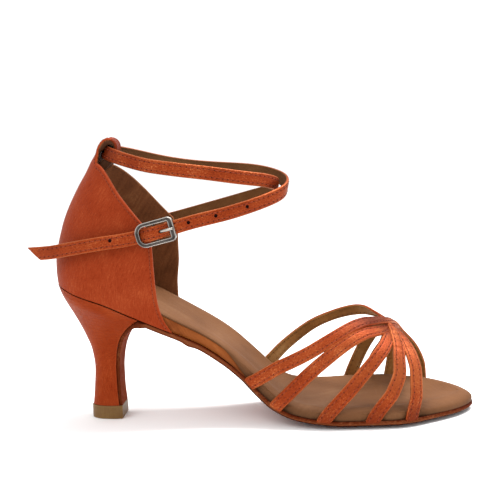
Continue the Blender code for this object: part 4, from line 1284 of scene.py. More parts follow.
@dataclass
class Sole:
    """Suede outsole with its heel flap, covered midsole and sock."""

    form: Form
    wardrobe: Wardrobe
    outsole_thick: float = 2.4
    midsole_thick: float = 3.9
    insole_thick: float = 1.4
    welt: float = 1.9
    toe_trim: float = 0.6
    toe_span: tuple[float, float] = (186.0, 204.0)
    bevel: tuple[tuple[float, float], ...] = (
        (3.4, 0.0), (2.2, 0.3), (1.2, 0.7), (0.45, 1.15), (0.0, 1.55), (0.0, 1.8))
    bevel_least: float = 0.3
    lip: tuple[tuple[float, float], ...] = ((0.08, 0.5), (0.22, 0.12), (0.45, 0.0), (0.8, 0.15))
    lip_in: float = 1.0
    # Edge weights by level, from the bottom up. In the forefoot: painted shade on the undercut and in the
    # groove under the sock, and a painted highlight on the outermost line. At the waist, and on the flap at a
    # share: a lighter edge, with painted shade in the groove under the sock
    edge_fore: tuple[float, ...] = (-0.9, -0.9, -0.3, 0.8, 0.3, -0.1, -0.6, -1.0, -1.0)
    edge_waist: tuple[float, ...] = (0.2, 0.2, 0.5, 0.6, 0.6, 0.5, 0.2, -0.5, -0.9)
    rim: float = 1.0
    flap_start: float = 51.0
    flap_steps: int = 90
    flap_edge_share: float = 0.2
    flap_edge: tuple[float, float] = (0.1, 0.9)
    skive_x: float = 73.0
    skive_depth: float = 0.8
    skive_width: float = 2.6
    wrap_span: tuple[float, float] = (84.0, 101.0)
    sock_round: float = 7.0
    sock_drop: tuple[float, float] = (0.9, 3.2)
    sock_skirt: float = 0.16
    sock_swell: float = 0.85
    swell_clear: tuple[float, float] = (4.2, 7.8)
    swell_rise: float = 10.0
    sock_turns: int = 9
    hem_low: float = 0.1
    hem_clear: float = 0.2
    hem_edge: float = 0.02
    hem_turn: float = 0.3
    hem_back: float = 0.12
    # Painted shade down the sock's hem, darkest at the groove against the outsole
    sock_hem_shade: tuple[float, ...] = (-0.9, -0.5, -0.35, -0.3, -0.25, -0.2, -0.15, -0.08)
    outsole_across: int = 33
    midsole_across: int = 9
    sock_across: int = 41

    def rings(self, margin: float, levels: Sequence[tuple[Array, ...]], count: int,
              back: Optional[float] = None) -> Array:
        """Rings round a layer of the sole, its edge drawn as nested outlines.

        Args:
            margin: Growth of the outline.
            levels: Distance in from the edge, height and share of the padding below, of the lines from the
                lower face up to the upper one.
            count: Points across each face.
            back: Where the layer ends, or None for the rounded heel.

        Returns:
            Rings of points by station: lower face, inner edge, upper face and outer edge.
        """
        spread = np.sin(np.linspace(-math.pi / 2, math.pi / 2, count))

        def line(level: tuple[Array, ...], t: float) -> Array:
            """Points along the sole at one level.

            Args:
                level: Distance in from the edge, height and share of the padding.
                t: Place across.

            Returns:
                The points.
            """
            inner = margin - np.asarray(level[0], dtype=float)
            x = self.form.stations(float(inner.flat[0]), back)
            return self.form.sole_point(x, t, level[1] + level[2] * self.form.padding(x, t, inner), inner)

        columns = [line(levels[0], t) for t in spread] + [line(level, 1.0) for level in levels[1:-1]]
        columns += [line(levels[-1], t) for t in spread[::-1]]
        columns += [line(level, -1.0) for level in levels[-2:0:-1]]
        return np.stack(columns, axis=1)

    def outsole(self) -> None:
        """Outsole, its tail turned down the breast of the heel."""
        x = self.form.stations(self.welt, self.flap_start)
        low = -self.outsole_thick - self.skive_depth * hill(x - self.skive_x, self.skive_width)
        full = self.wrapped(x)
        toe = self.toe_trim * self.span(x, self.toe_span)
        bevelled = self.bevel_least + (1 - self.bevel_least) * full
        levels = [(toe + inset * bevelled, low + rise, 0.0) for inset, rise in self.bevel]
        levels += [(toe + inset, self.rim * full - drop, 0.0) for inset, drop in self.lip]
        levels += [(toe + self.lip_in, 0.0 * x, 0.0)]
        count, edge = self.outsole_across, len(levels) - 2
        rings = self.rings(self.welt, levels, count, self.flap_start)
        tail = self.flap(count, edge)
        fore = np.concatenate([full, np.zeros(len(tail))])[:, None]
        bare = np.concatenate([1 - full, np.full(len(tail), self.flap_edge_share)])[:, None]
        # Painted shade and highlights on the sole's edge, by level
        folds = np.zeros((len(rings) + len(tail), rings.shape[1]))
        folds[:, count:count + edge] = np.array(self.edge_fore) * fore + np.array(self.edge_waist) * bare
        folds[:, -edge:] = folds[:, count:count + edge][:, ::-1]
        layers = np.zeros(rings.shape[1], dtype=int)
        layers[count - 1:count + edge] = layers[-edge - 1:] = Layer.BACK
        cloth = Cloth()
        cloth.loops(np.concatenate([rings, tail]), layers, folds)
        made = cloth.build("outsole", self.wardrobe.several(Skin.SUEDE, Skin.EDGE))
        settle(made, "suede", "outsole")

    @staticmethod
    def span(x: Array, ends: tuple[float, float]) -> Array:
        """Smooth step from 0 to 1 between two places."""
        return ease((x - ends[0]) / (ends[1] - ends[0]))

    def wrapped(self, x: Array) -> Array:
        """Share of the forefoot's edge shape, nothing at the waist."""
        return self.span(x, self.wrap_span)

    def swell(self, x: Array) -> Array:
        """How far the sock's edge swells between the straps.

        Args:
            x: Place along the foot.

        Returns:
            Growth of the sock's outline.
        """
        feet = STRAP_TABLE.rows[0][1:]
        clear = np.min([np.abs(x - foot) for foot in feet], axis=0)
        return self.sock_swell * self.span(clear, self.swell_clear) * ease((x - feet[1]) / self.swell_rise)

    def flap(self, count: int, wall: int) -> Array:
        """Rings of the flap on the heel's breast.

        Args:
            count: Points across each face.
            wall: Points on each cut edge.

        Returns:
            Rings that go on from the outsole's.
        """
        read = Heel.sections(self.flap_steps)
        spread = np.sin(np.linspace(-math.pi / 2, math.pi / 2, count))
        depths = np.linspace(*self.flap_edge, wall)
        across = np.concatenate([spread, np.ones(wall), spread[::-1], -np.ones(wall)])
        inward = np.concatenate([np.zeros(count), depths, np.ones(count), depths[::-1]])
        depth = read["flap_thick"][:, None] * inward
        place = read["path"][:, None] + read["inward"][:, None] * depth[..., None]
        return np.stack([place[..., 0], read["flap_half"][:, None] * across, place[..., 1]], axis=-1)

    def midsole(self) -> None:
        """Midsole, its wall covered at the waist."""
        under = self.wrapped(self.form.stations(0.0))
        levels = [(inset + drawn_in * under,
                   self.form.gap + share * self.midsole_thick + offset - drawn_down * under, padding)
                  for inset, drawn_in, share, offset, drawn_down, padding in WALL_TABLE.rows]
        cloth = Cloth()
        cloth.loops(self.rings(0.0, levels, self.midsole_across), caps=(False, False))
        settle(cloth.build("midsole", self.wardrobe.several(Skin.WAIST)), "board", "midsole")

    def sock(self) -> None:
        """Sock over the insole, its edge drawn down over the wall of the forefoot."""
        base = self.form.gap + self.midsole_thick + self.form.gap
        top = base + self.insole_thick
        x = self.form.stations(0.0)
        wrapped = self.wrapped(x)
        hem = base - self.hem_low + (self.rim - self.hem_clear - base) * wrapped
        drop = self.sock_drop[0] + (self.sock_drop[1] - self.sock_drop[0]) * wrapped
        skirt = -self.sock_skirt - self.swell(x)
        levels = [(self.hem_turn, base + 0.0 * x, 1.0),
                  (self.hem_turn - self.hem_edge, hem + self.hem_edge, 1 - wrapped),
                  (skirt + self.hem_back, hem, 1 - wrapped), (skirt, (hem + top - drop) / 2, 1 - wrapped / 2)]
        for a in np.linspace(0.0, math.pi / 2, self.sock_turns):
            levels.append((skirt + self.sock_round * (1 - math.cos(a)), top - drop * (1 - math.sin(a)), 1.0))
        rings = self.rings(0.0, levels, self.sock_across)
        # Painted shadows of the straps on the sock, and painted shade down its hem
        painted_shade = sum(weight * hill(rings[..., 0] - at, length) * hill(rings[..., 1] - off, width)
                   for at, off, length, width, weight in STRAP_SHADOW_TABLE.rows)
        deep_in = len(self.sock_hem_shade)
        painted_shade[:, self.sock_across:self.sock_across + deep_in] += self.sock_hem_shade
        painted_shade[:, -deep_in:] += self.sock_hem_shade[::-1]
        cloth = Cloth()
        cloth.loops(rings, None, painted_shade, caps=(False, False))
        made = cloth.build("insole_sock", self.wardrobe.several(Skin.SOCK), sharp=60.0)
        settle(made, "sock", "insole")

    def build(self) -> None:
        """Builds the pieces of the sole."""
        self.outsole()
        self.midsole()
        self.sock()


@dataclass
class Heel:
    """Flared heel under satin, with its top piece."""

    form: Form
    wardrobe: Wardrobe
    wall: float = 1.8
    seat_round: float = 0.55
    stem_round: float = 0.75
    front_taper: float = 0.8
    back_power: float = 2.2
    front_points: int = 12
    steps: int = 110
    side_points: int = 34
    seat_rows: float = 0.5
    front_corner_lightening: float = 0.7
    tip_back: float = 15.7
    tip_front: float = 33.0
    tip_half: float = 8.4
    tip_points: int = 30

    @staticmethod
    def sections(count: int) -> dict[str, Array]:
        """Heel table read finely.

        Args:
            count: Sections from the seat down.

        Returns:
            Its columns, the path of the breast and the breast's inward normal.
        """
        places = np.arange(len(HEEL_TABLE.rows), dtype=float)
        fine = np.linspace(0.0, places[-1], count)
        read = {name: smooth(fine, places, HEEL_TABLE.column(name)) for name in HEEL_TABLE.columns}
        read["row"] = fine
        read["path"] = np.stack([read["breast_x"], read["breast_z"]], axis=-1)
        run = unit(np.gradient(read["path"], axis=0))
        read["inward"] = np.stack([run[:, 1], -run[:, 0]], axis=-1)
        return read

    def half_ring(self, depth: Array, rounded: float) -> Array:
        """Half width of a section as a share, from its round back to its flat front."""
        taper = 1 - self.front_taper * np.clip(depth - rounded, 0, 1) ** 2
        return Form.round_end(depth, rounded, self.back_power) * taper

    def ring(self, x: Array, y: Array, z: Array) -> Array:
        """Closed ring from its inner half, with points across the flat front.

        Args:
            x, y, z: The inner half, from its back to its front.

        Returns:
            Points round the ring.
        """
        left = np.stack([x, y, z], axis=-1)
        right = left * np.array([1.0, -1.0, 1.0])
        front = left[-1] + (right[-1] - left[-1]) * np.linspace(0.0, 1.0, self.front_points)[1:-1, None]
        return np.concatenate([left, front, right[:0:-1]])

    def stem(self) -> None:
        """The heel itself."""
        read = self.sections(self.steps)
        front = read["path"] + read["inward"] * (read["flap_thick"] + self.form.gap)[:, None]
        depth = 1 - np.cos(np.linspace(0.0, math.pi / 2, self.side_points))
        rows = len(HEEL_TABLE.rows) - 1

        def ring_at(i: int) -> Array:
            """Ring of one section.

            Args:
                i: Number of the section.

            Returns:
                Points round it.
            """
            x = read["back_x"][i] + (front[i, 0] - read["back_x"][i]) * depth
            z = read["back_z"][i] + (front[i, 1] - read["back_z"][i]) * depth
            down = read["row"][i] / rows
            rounded = self.seat_round + (self.stem_round - self.seat_round) * down
            return self.ring(x, read["half"][i] * self.half_ring(depth, rounded), z)

        x = read["back_x"][0] + (front[0, 0] - read["back_x"][0]) * depth
        seat = self.ring(x, self.form.outline(x, self.wall + self.form.gap)[1],
                         self.form.feather(x) - self.form.gap / 2)
        first = int(np.searchsorted(read["row"], self.seat_rows))
        rings = [seat + (ring_at(first) - seat) * (i / first) for i in range(first)]
        rings += [ring_at(i) for i in range(first, len(front))]
        cloth = Cloth()
        # The two front corners are painted lighter
        folds = np.zeros(len(seat))
        folds[len(depth) - 1] = folds[len(depth) + self.front_points - 2] = self.front_corner_lightening
        cloth.loops(np.array(rings), None, folds)
        made = cloth.build("heel", self.wardrobe.several(Skin.HEEL_SATIN), sharp=40.0)
        settle(made, "satin", "heel")

    def top_piece(self) -> None:
        """D shaped top piece, with a painted highlight along its lower edge and lighter near its top."""
        depth = 1 - np.cos(np.linspace(0.0, math.pi / 2, self.tip_points))
        rings = []
        for z, inset, _ in TIP_TABLE.rows:
            x = self.tip_back + inset + (self.tip_front - self.tip_back - 2 * inset) * depth
            y = (self.tip_half - inset) * self.half_ring(depth, self.stem_round)
            rings.append(self.ring(x, y, np.full_like(x, z)))
        cloth = Cloth()
        cloth.loops(np.array(rings), None, TIP_TABLE.column("edge_lightening")[:, None])
        made = cloth.build("heel_top_piece", self.wardrobe.several(Skin.TIP), sharp=35.0)
        settle(made, "rubber", "heel_tip")

    def build(self) -> None:
        """Builds the heel and its top piece."""
        self.stem()
        self.top_piece()


@dataclass
class Quarter:
    """Closed heel cup with a rolled top line and its tab folded over into a loop."""

    form: Form
    wardrobe: Wardrobe
    stitching: Stitching
    wall: float = 1.8
    corner_z: Mapping[Side, float] = field(default_factory=lambda: {Side.LATERAL: 101.5, Side.MEDIAL: 102.5})
    corner_half: Mapping[Side, float] = field(default_factory=lambda: {Side.LATERAL: 26.0, Side.MEDIAL: 26.6})
    top_rise: Mapping[Side, float] = field(default_factory=lambda: {Side.LATERAL: 2.0, Side.MEDIAL: 3.8})
    top_reach: Mapping[Side, float] = field(default_factory=lambda: {Side.LATERAL: 0.5, Side.MEDIAL: 1.0})
    bow_peak: float = 6.75
    bulge: float = 1.6
    tab_z: float = 134.5
    tab_half: float = 8.5
    tab_share: float = 3.0 / 14.0
    tab_hollow: float = 4.0
    tab_fade: float = 9.0
    tab_step: float = 0.8
    tab_pads: tuple[tuple[float, float, float], ...] = ((1.6, 6.0, 21.0), (2.3, 22.5, 38.5))
    pad_fade: float = 4.0
    # Painted shade on the tab inside the loop, and where it starts along the tab on the outer and on the inner
    # face
    tab_painted_shade: float = -0.75
    tab_painted_shade_from: tuple[float, float] = (17.0, 2.0)
    lined_from: float = 22.5
    lining_in: float = 0.1
    edge_round: float = 0.95
    # Painted highlight along the rolled edges: brightness, distance in and reach
    edge_highlight: tuple[float, float, float] = (0.8, 0.25, 0.35)
    roll: float = 0.22
    roll_past: float = 0.3
    seam: float = 2.7
    stitch: Mapping[str, float] = field(default_factory=lambda: {
        "pitch": 2.1, "length": 1.5, "width": 0.40, "height": 0.30, "hole": 0.52})
    seam_clear: tuple[float, float] = (1.1, 1.4)
    seam_rows: int = 4
    tab_seam: float = 1.8
    tab_sewn: tuple[int, float] = (2, 0.4)
    groove: float = 0.16
    groove_width: float = 0.45
    ripple: float = 0.10
    ripple_slant: tuple[float, float] = (0.21, 0.13)
    ripple_up: tuple[float, float] = (0.17, 1.3)
    ripple_from: float = 4.0
    ripple_full: float = 12.0
    foot_weight: float = 2.5
    tab_places: tuple[float, ...] = (0.0, 0.14, 0.28, 0.42, 0.56, 0.68, 0.78, 0.86, 0.92, 0.96, 0.985, 1.0)
    edge_places: tuple[float, ...] = (1.6, 1.1, 0.7, 0.4, 0.2, 0.07, 0.0)
    foot_places: tuple[float, ...] = (0.0, 0.1, 0.3, 0.6, 1.0)
    places_on: float = 45.0
    places_apart: float = 0.01
    columns: int = 56
    rows: int = 60

    def spacing(self) -> tuple[Array, Array, int]:
        """Places along and up one half, close together at its edges, and the tab's last column.

        Returns:
            Shares along, shares up, and the number of the column where the tab ends.
        """
        ends = 1 - np.array(self.edge_places) / self.places_on
        feet = np.array(self.foot_places) / self.places_on
        rest, body = np.linspace(0.0, 1.0, self.columns)[1:-1], np.linspace(0.0, 1.0, self.rows)
        rest = np.concatenate([rest[rest < ends[0] - self.places_apart], ends])
        body = body[(body > feet[-1] + self.places_apart) & (body < ends[0] - self.places_apart)]
        on_tab = np.array(self.tab_places)
        share = np.concatenate([on_tab * self.tab_share, self.tab_share + rest * (1 - self.tab_share)])
        return share, np.concatenate([feet, body, ends]), len(on_tab) - 1

    def half(self, side: Side) -> Array:
        """One half of the cup's middle surface.

        Args:
            side: Which half.

        Returns:
            Points by row, from the sole up, and column, from the back seam to the front edge.
        """
        share, rise, _ = self.spacing()
        margin = self.form.gap + self.wall / 2
        back_x = self.form.back - margin
        front_x = FRONT_TABLE.read(rise, "rise", side.value)
        low_x = back_x + (front_x[0] - back_x) * (1 - np.cos(share * math.pi / 2))
        centre, half = self.form.outline(low_x, margin)
        low_z = self.form.feather(low_x) + self.form.gap + self.form.edge_lift(low_x, np.ones_like(low_x))
        low_y = side.sign * centre + half
        seam_z = low_z[0] + (self.tab_z - low_z[0]) * rise
        seam_x = BACK_TABLE.read(seam_z, "z", "x") + self.wall / 2
        edge_z = low_z[-1] + (self.corner_z[side] - low_z[-1]) * rise
        on_tab = np.clip(share / self.tab_share, 0.0, 1.0)
        along = np.clip((share - self.tab_share) / (1 - self.tab_share), 0.0, 1.0)
        tab_x = seam_x[-1] + self.tab_hollow * on_tab ** 2
        high_x = tab_x + (front_x[-1] - tab_x[-1]) * along
        near = np.clip(along / self.top_reach[side], 0.0, 1.0)
        high_z = self.tab_z + (self.corner_z[side] - self.tab_z) * along
        high_z = high_z + self.top_rise[side] * self.bow_peak * near * (1 - near) ** 2
        high_y = self.tab_half * on_tab + (self.corner_half[side] - self.tab_half) * np.sin(along * math.pi / 2)
        u, v = share[None, :], rise[:, None]
        sheet = []
        for low, high, seam, edge in ((low_x, high_x, seam_x, front_x), (low_z, high_z, seam_z, edge_z)):
            corners = (1 - u) * ((1 - v) * low[0] + v * high[0]) + u * ((1 - v) * low[-1] + v * high[-1])
            sheet.append((1 - v) * low + v * high + (1 - u) * seam[:, None] + u * edge[:, None] - corners)
        bulge = self.bulge * np.sin(math.pi * v) * np.sin(u * math.pi / 2)
        y = side.sign * ((1 - v) * low_y + v * high_y + bulge)
        return np.stack([sheet[0], y, sheet[1]], axis=-1)

    def distances(self, cup: Array, tab: int) -> tuple[Array, Array]:
        """Distance of each point of the cup from its free edges.

        Args:
            cup: Points of the whole cup.
            tab: Columns of the tab on each side of the back seam.

        Returns:
            Distance to any edge, and to the top line or front edge alone.
        """
        rows, columns = cup.shape[:2]
        middle = columns // 2
        up = np.stack([arc(cup[:, j]) for j in range(columns)], axis=1)
        top = up[-1] - up
        top[:, middle - tab + 1:middle + tab] = np.inf
        across = np.stack([arc(cup[i]) for i in range(rows)])
        front = np.minimum(across, across[:, -1:] - across)
        free = np.minimum(top, front)
        return np.minimum(free, self.foot_weight * up), free

    def thickness(self, points: Array, edges: Array, frees: Array,
                  runs: Array) -> tuple[Array, Array]:
        """How far the skins lie from the middle surface.

        Args:
            points: Points of the middle surface.
            edges, frees: Their distances from any edge and from the free edges.
            runs: How far up the tab they lie.

        Returns:
            Distance of the outer skin, rolled and grooved at its edge, and of the inner one, padded on the tab.
        """
        t = np.clip(edges / self.edge_round, 0.0, 1.0)
        thick = self.wall / 2 * np.sqrt(np.clip(1 - (1 - t) ** 2, 0.0, 1.0))
        roll = self.roll * np.sin(math.pi * np.clip(frees / (self.seam + self.roll_past), 0.0, 1.0))
        groove = -self.groove * hill(frees - self.seam, self.groove_width)
        (along, up), (rate, start) = self.ripple_slant, self.ripple_up
        x, z = points[:, 0], points[:, 2]
        wave = self.ripple * np.sin(x * along + z * up) * np.sin(z * rate + start)
        wave *= np.clip((frees - self.ripple_from) / (self.ripple_full - self.ripple_from), 0, 1)
        relief = np.where(t >= 1.0, roll + groove + wave, roll * t)
        pad = np.sqrt(t) * sum(depth * ease((runs - low) / self.pad_fade) * ease((high - runs) / self.pad_fade)
                               for depth, low, high in self.tab_pads)
        return thick + relief, thick + pad - self.lining_in * (t >= 1.0)

    def build(self) -> None:
        """Builds the cup with its lining and its stitching."""
        lateral, medial = self.half(Side.LATERAL), self.half(Side.MEDIAL)
        cup = np.concatenate([lateral[:, ::-1], medial[:, 1:]], axis=1)
        rows, columns = cup.shape[:2]
        middle, tab = columns // 2, self.spacing()[2]
        edge, free = self.distances(cup, tab)
        points = list(cup.reshape(-1, 3))
        edges, frees = list(edge.reshape(-1)), list(free.reshape(-1))
        runs = [0.0] * len(points)
        up = np.stack([arc(cup[:, j]) for j in range(columns)], axis=1)
        across = np.stack([arc(cup[i]) for i in range(rows)])
        cloth_at = list(np.stack([up, across - across[:, middle:middle + 1]], axis=-1).reshape(-1, 2))
        quads = grid(rows, columns)
        strip = list(range(middle - tab, middle + tab + 1))
        root = np.array([[cup[-1, middle, 0], self.tab_z, self.tab_half]])
        path = natural_curve(np.concatenate([root, np.array(TAB_TABLE.rows)]), self.tab_step)
        gone = arc(path[:, :2])
        hollow = cup[-1, strip, 0] - cup[-1, middle, 0]
        spread = cup[-1, strip, 1] / self.tab_half
        below = [(rows - 1) * columns + j for j in strip]
        tab_grid = [below]
        for (x, z, half), run in zip(path[1:], gone[1:]):
            fade = max(0.0, 1 - run / self.tab_fade)
            first = len(points)
            points.extend(np.stack([x + hollow * fade, spread * half, np.full(len(strip), z)], axis=-1))
            from_side = half * (1 - np.abs(spread))
            edges.extend(np.minimum(from_side, gone[-1] - run))
            frees.extend(from_side)
            runs.extend([run] * len(strip))
            cloth_at.extend(np.stack([np.full(len(strip), up[-1, middle] + run), spread * half], axis=-1))
            above = list(range(first, first + len(strip)))
            quads += [(below[k], below[k + 1], above[k + 1], above[k]) for k in range(len(strip) - 1)]
            below = above
            tab_grid.append(above)
        points, cloth_at = np.array(points), np.array(cloth_at)
        edges, frees, runs = np.array(edges), np.array(frees), np.array(runs)
        normals = np.zeros_like(points)
        for quad in quads:
            a, b, c, d = (points[k] for k in quad)
            normals[list(quad)] += np.cross(c - a, d - b)
        normals = -unit(normals)
        out, back = self.thickness(points, edges, frees, runs)
        outer, inner = points + normals * out[:, None], points - normals * back[:, None]
        # Painted highlight along the rolled edges; painted shade on the tab inside the loop
        bright, place, reach = self.edge_highlight
        light = bright * hill(edges - place, reach)
        light_and_shade = [np.where(runs > begin, self.tab_painted_shade, light) for begin in self.tab_painted_shade_from]
        cloth = Cloth()
        face = [Layer.BACK if min(runs[list(q)]) > self.lined_from else Layer.FACE for q in quads]
        cloth.add(outer, quads, face, cloth_at, light_and_shade[0])
        lined = [Layer.BACK if max(edges[list(q)]) > 0.0 else Layer.FACE for q in quads]
        cloth.add(inner, [q[::-1] for q in quads], lined, cloth_at, light_and_shade[1])
        made = cloth.build("quarter", self.wardrobe.several(Skin.QUARTER_SATIN, Skin.CUP_LINING), sharp=60.0)
        settle(made, "satin", "quarter")
        self.sew(outer, normals, (rows, columns, tab), tab_grid)

    def sew(self, outer: Array, normals: Array, sizes: tuple[int, int, int],
            tab_grid: Sequence[Sequence[int]]) -> None:
        """Sews the rows along the top line, the front edges and the tab.

        Args:
            outer, normals: Outer skin and its normals.
            sizes: Rows and columns of the cup's grid, and columns of the tab on each side of the back seam.
            tab_grid: Indices of the tab's points by row.
        """
        rows, columns, tab = sizes
        skin, lie = (part[:rows * columns].reshape(rows, columns, 3) for part in (outer, normals))
        middle = columns // 2
        first, share = self.tab_sewn
        lines = []
        for side in (-1, 1):
            corner = skin[-1, columns - 1 if side > 0 else 0]
            along = [middle + side * step for step in range(tab + 1, middle + 1)]
            top = [self.at(skin[::-1, j], lie[::-1, j], self.seam) for j in along]
            halves = [row[::-side] for row in tab_grid[first:int(len(tab_grid) * share)]]
            up = [self.at(outer[half], normals[half], self.tab_seam) for half in halves]
            inward = list(range(columns - 1, middle, -1) if side > 0 else range(middle))
            front = [self.at(skin[i, inward], lie[i, inward], self.seam) for i in range(self.seam_rows, rows)]
            top, front = ([p for p in line if np.linalg.norm(p[0] - corner) > self.seam * clear]
                          for line, clear in zip((top, front), self.seam_clear))
            lines += [up[::-1] + top, front]
        sewn = [Row(np.array([p for p, _ in line]), unit(np.array([n for _, n in line]))) for line in lines]
        thread, shadow = self.wardrobe.several(Skin.QUARTER_THREAD, Skin.NEEDLE)
        settle(self.stitching.sew("quarter_stitching", sewn, thread, shadow, **self.stitch), "satin")

    @staticmethod
    def at(points: Array, normals: Array, wanted: float) -> tuple[Array, Array]:
        """Point and normal at a distance along a line of points.

        Args:
            points, normals: The line and its normals.
            wanted: The distance from its start.

        Returns:
            The point and the normal there.
        """
        depth = arc(points)
        point, normal = (np.array([np.interp(wanted, depth, part[:, k]) for k in range(3)])
                         for part in (points, normals))
        return point, normal


@dataclass
class Vamp:
    """Forefoot straps gathered where they cross."""

    form: Form
    wardrobe: Wardrobe
    stitching: Stitching
    band: Band = field(default_factory=lambda: Band(pucker=0.16))
    lifts: Mapping[str, float] = field(default_factory=lambda: {
        "first": 2.2, "second": 0.3, "third": 0.0, "fourth": 1.3, "fifth": 0.7})
    lift_spread: float = 0.16
    gather: float = 0.3
    gather_spread: float = 0.12
    twists: Mapping[str, float] = field(default_factory=lambda: {"fourth": -30.0})
    twist_place: float = 0.64
    twist_spread: float = 0.07
    sink: float = 7.0
    sink_steps: int = 8
    sink_base: int = 4
    steps: int = 200
    probe: tuple[float, float, float] = (0.5, 0.01, 0.02)
    tuck: float = 0.25
    sewn_above: float = 1.2
    ridge: float = 0.6
    ridge_off: float = 1.6
    # Painted highlights (above zero) and painted shade (below zero) along each strap: place on its turn, spread
    # and weight
    tones: Mapping[str, tuple[tuple[float, float, float], ...]] = field(default_factory=lambda: {
        "first": ((0.39, 0.09, -0.8), (0.17, 0.10, 0.15)), "second": ((0.42, 0.06, -0.6), (0.25, 0.12, 0.2)),
        "third": ((0.41, 0.05, -0.6), (0.15, 0.09, 0.3), (0.0, 0.05, -0.4), (0.86, 0.13, -0.3)),
        "fourth": ((0.54, 0.04, -0.5), (0.40, 0.06, 0.6), (0.18, 0.10, 0.7), (0.0, 0.05, -0.5),
                   (0.66, 0.07, -0.25), (0.97, 0.14, 0.5)),
        "fifth": ((0.46, 0.035, -0.5), (0.33, 0.07, 0.5), (0.18, 0.08, 0.6), (0.0, 0.06, -0.6),
                  (0.84, 0.13, -0.3))})

    def relief(self, strap: int, knot: float) -> Relief:
        """Creases of one strap.

        Args:
            strap: Number of the strap.
            knot: Place of the knot along it.

        Returns:
            Height by place along and across.
        """
        creases = [row for row in CREASE_TABLE.rows if row[0] == strap]

        def height(along: Array, across: Array) -> Array:
            """Height of the outer face.

            Args:
                along, across: Places on the strap.

            Returns:
                The height.
            """
            made = np.zeros((len(along), len(across)))
            for _, place, side, angle, depth, width, reach in creases:
                a = (along - knot - place)[:, None]
                s = (across - side)[None, :]
                turn = math.radians(angle)
                off = s * math.cos(turn) - a * math.sin(turn)
                on = a * math.cos(turn) + s * math.sin(turn)
                ridge = self.ridge * hill(np.abs(off) - self.ridge_off * width, width)
                made += depth * (ridge - hill(off, width)) * hill(on, reach)
            return made

        return height

    def route(self, name: str) -> tuple[Array, Array, Array]:
        """Path of one strap with its directions across and outwards.

        Args:
            name: The strap.

        Returns:
            Path, and its directions across, whose length narrows the strap, and outwards.
        """
        turn = np.linspace(0.0, 1.0, self.steps + 1)
        x = STRAP_TABLE.read(turn, "turn", name)
        path = self.form.vamp_point(x, turn)
        step_x, step, least = self.probe
        inner = np.clip(turn, least, 1 - least)
        along = self.form.vamp_point(x + step_x, inner) - self.form.vamp_point(x - step_x, inner)
        around = self.form.vamp_point(x, inner + step) - self.form.vamp_point(x, inner - step)
        outward = unit(np.cross(along, around))
        path = path + outward * (self.lifts[name] * hill(turn - 0.5, self.lift_spread))[:, None]
        ends, base = self.sink_steps, self.sink_base
        share = np.linspace(1.0, 0.0, ends + 1)[:-1, None]
        first = path[0] + self.sink * share * unit(path[0] - path[base])
        last = path[-1] + self.sink * share[::-1] * unit(path[-1] - path[-1 - base])
        path = np.concatenate([first, path, last])
        twist = math.radians(self.twists.get(name, 0.0)) * hill(turn - self.twist_place, self.twist_spread)
        narrow = 1 - self.gather * hill(turn - 0.5, self.gather_spread)
        outward, twist, narrow = (np.pad(part, ((ends, ends), (0, 0)), mode="edge")
                                  for part in (outward, twist[:, None], narrow[:, None]))
        run = unit(np.gradient(path, axis=0))
        across = unit(np.cross(outward, run))
        outward = unit(np.cross(run, across))
        across, outward = (across * np.cos(twist) - outward * np.sin(twist),
                           outward * np.cos(twist) + across * np.sin(twist))
        return path, across * narrow, outward

    def tone(self, name: str, count: int) -> Array:
        """Weight of a strap's painted highlights and painted shade along its turn."""
        turn = np.clip((np.arange(count) - self.sink_steps) / self.steps, 0.0, 1.0)
        return sum(weight * hill(turn - place, spread) for place, spread, weight in self.tones[name])

    def ground(self, points: Array) -> Array:
        """Height of points above the place where a strap goes under the sole."""
        x = points[..., 0]
        return points[..., 2] - self.form.feather(x) - self.form.edge_lift(x, np.ones_like(x)) + self.tuck

    def trimmed(self, rings: Array) -> Array:
        """Rings with each line of points ended at the outsole.

        Args:
            rings: Rings of points, carried on past the sole's edge.

        Returns:
            The ended rings.
        """
        rings = rings.copy()
        middle = len(rings) // 2
        for j in range(rings.shape[1]):
            above = self.ground(rings[:, j])
            for order in (range(middle, len(rings)), range(middle, -1, -1)):
                previous, stop = middle, None
                for i in order:
                    if stop is None and above[i] < 0:
                        share = above[previous] / (above[previous] - above[i])
                        stop = rings[previous, j] + (rings[i, j] - rings[previous, j]) * share
                    if stop is not None:
                        rings[i, j] = stop
                    previous = i
        return rings

    def build(self) -> None:
        """Builds the straps and their stitching."""
        cloth, rows, linings = Cloth(), [], []
        _, layers, folds = self.band.section()
        for number, name in enumerate(STRAP_TABLE.columns[1:], start=1):
            path, across, outward = self.route(name)
            knot = arc(path)[len(path) // 2]
            relief = self.relief(number, knot)
            rings = self.band.rings(path, across, outward, np.zeros(len(path)), relief)
            cloth.loops(self.trimmed(rings), layers, folds + self.tone(name, len(rings))[:, None])
            for side, sewn in ((Layer.FACE, rows), (Layer.BACK, linings)):
                for row in self.band.rows(path, across, outward, 0.0, 0.0, relief, side):
                    keep = self.ground(row.points) > self.sewn_above
                    sewn.append(Row(row.points[keep], row.normals[keep]))
        satin, lining = self.wardrobe.several(Skin.STRAP_SATIN, Skin.VAMP_LINING)
        settle(cloth.build("vamp_straps", [satin, lining], sharp=60.0), "satin", "vamp_straps")
        thread, shadow = self.wardrobe.several(Skin.STRAP_THREAD, Skin.NEEDLE)
        settle(self.stitching.sew("vamp_stitching", rows, thread, shadow), "satin")
        thread = self.wardrobe.get(Skin.LINING_THREAD)
        settle(self.stitching.sew("vamp_lining_stitching", linings, thread, shadow), "satin")


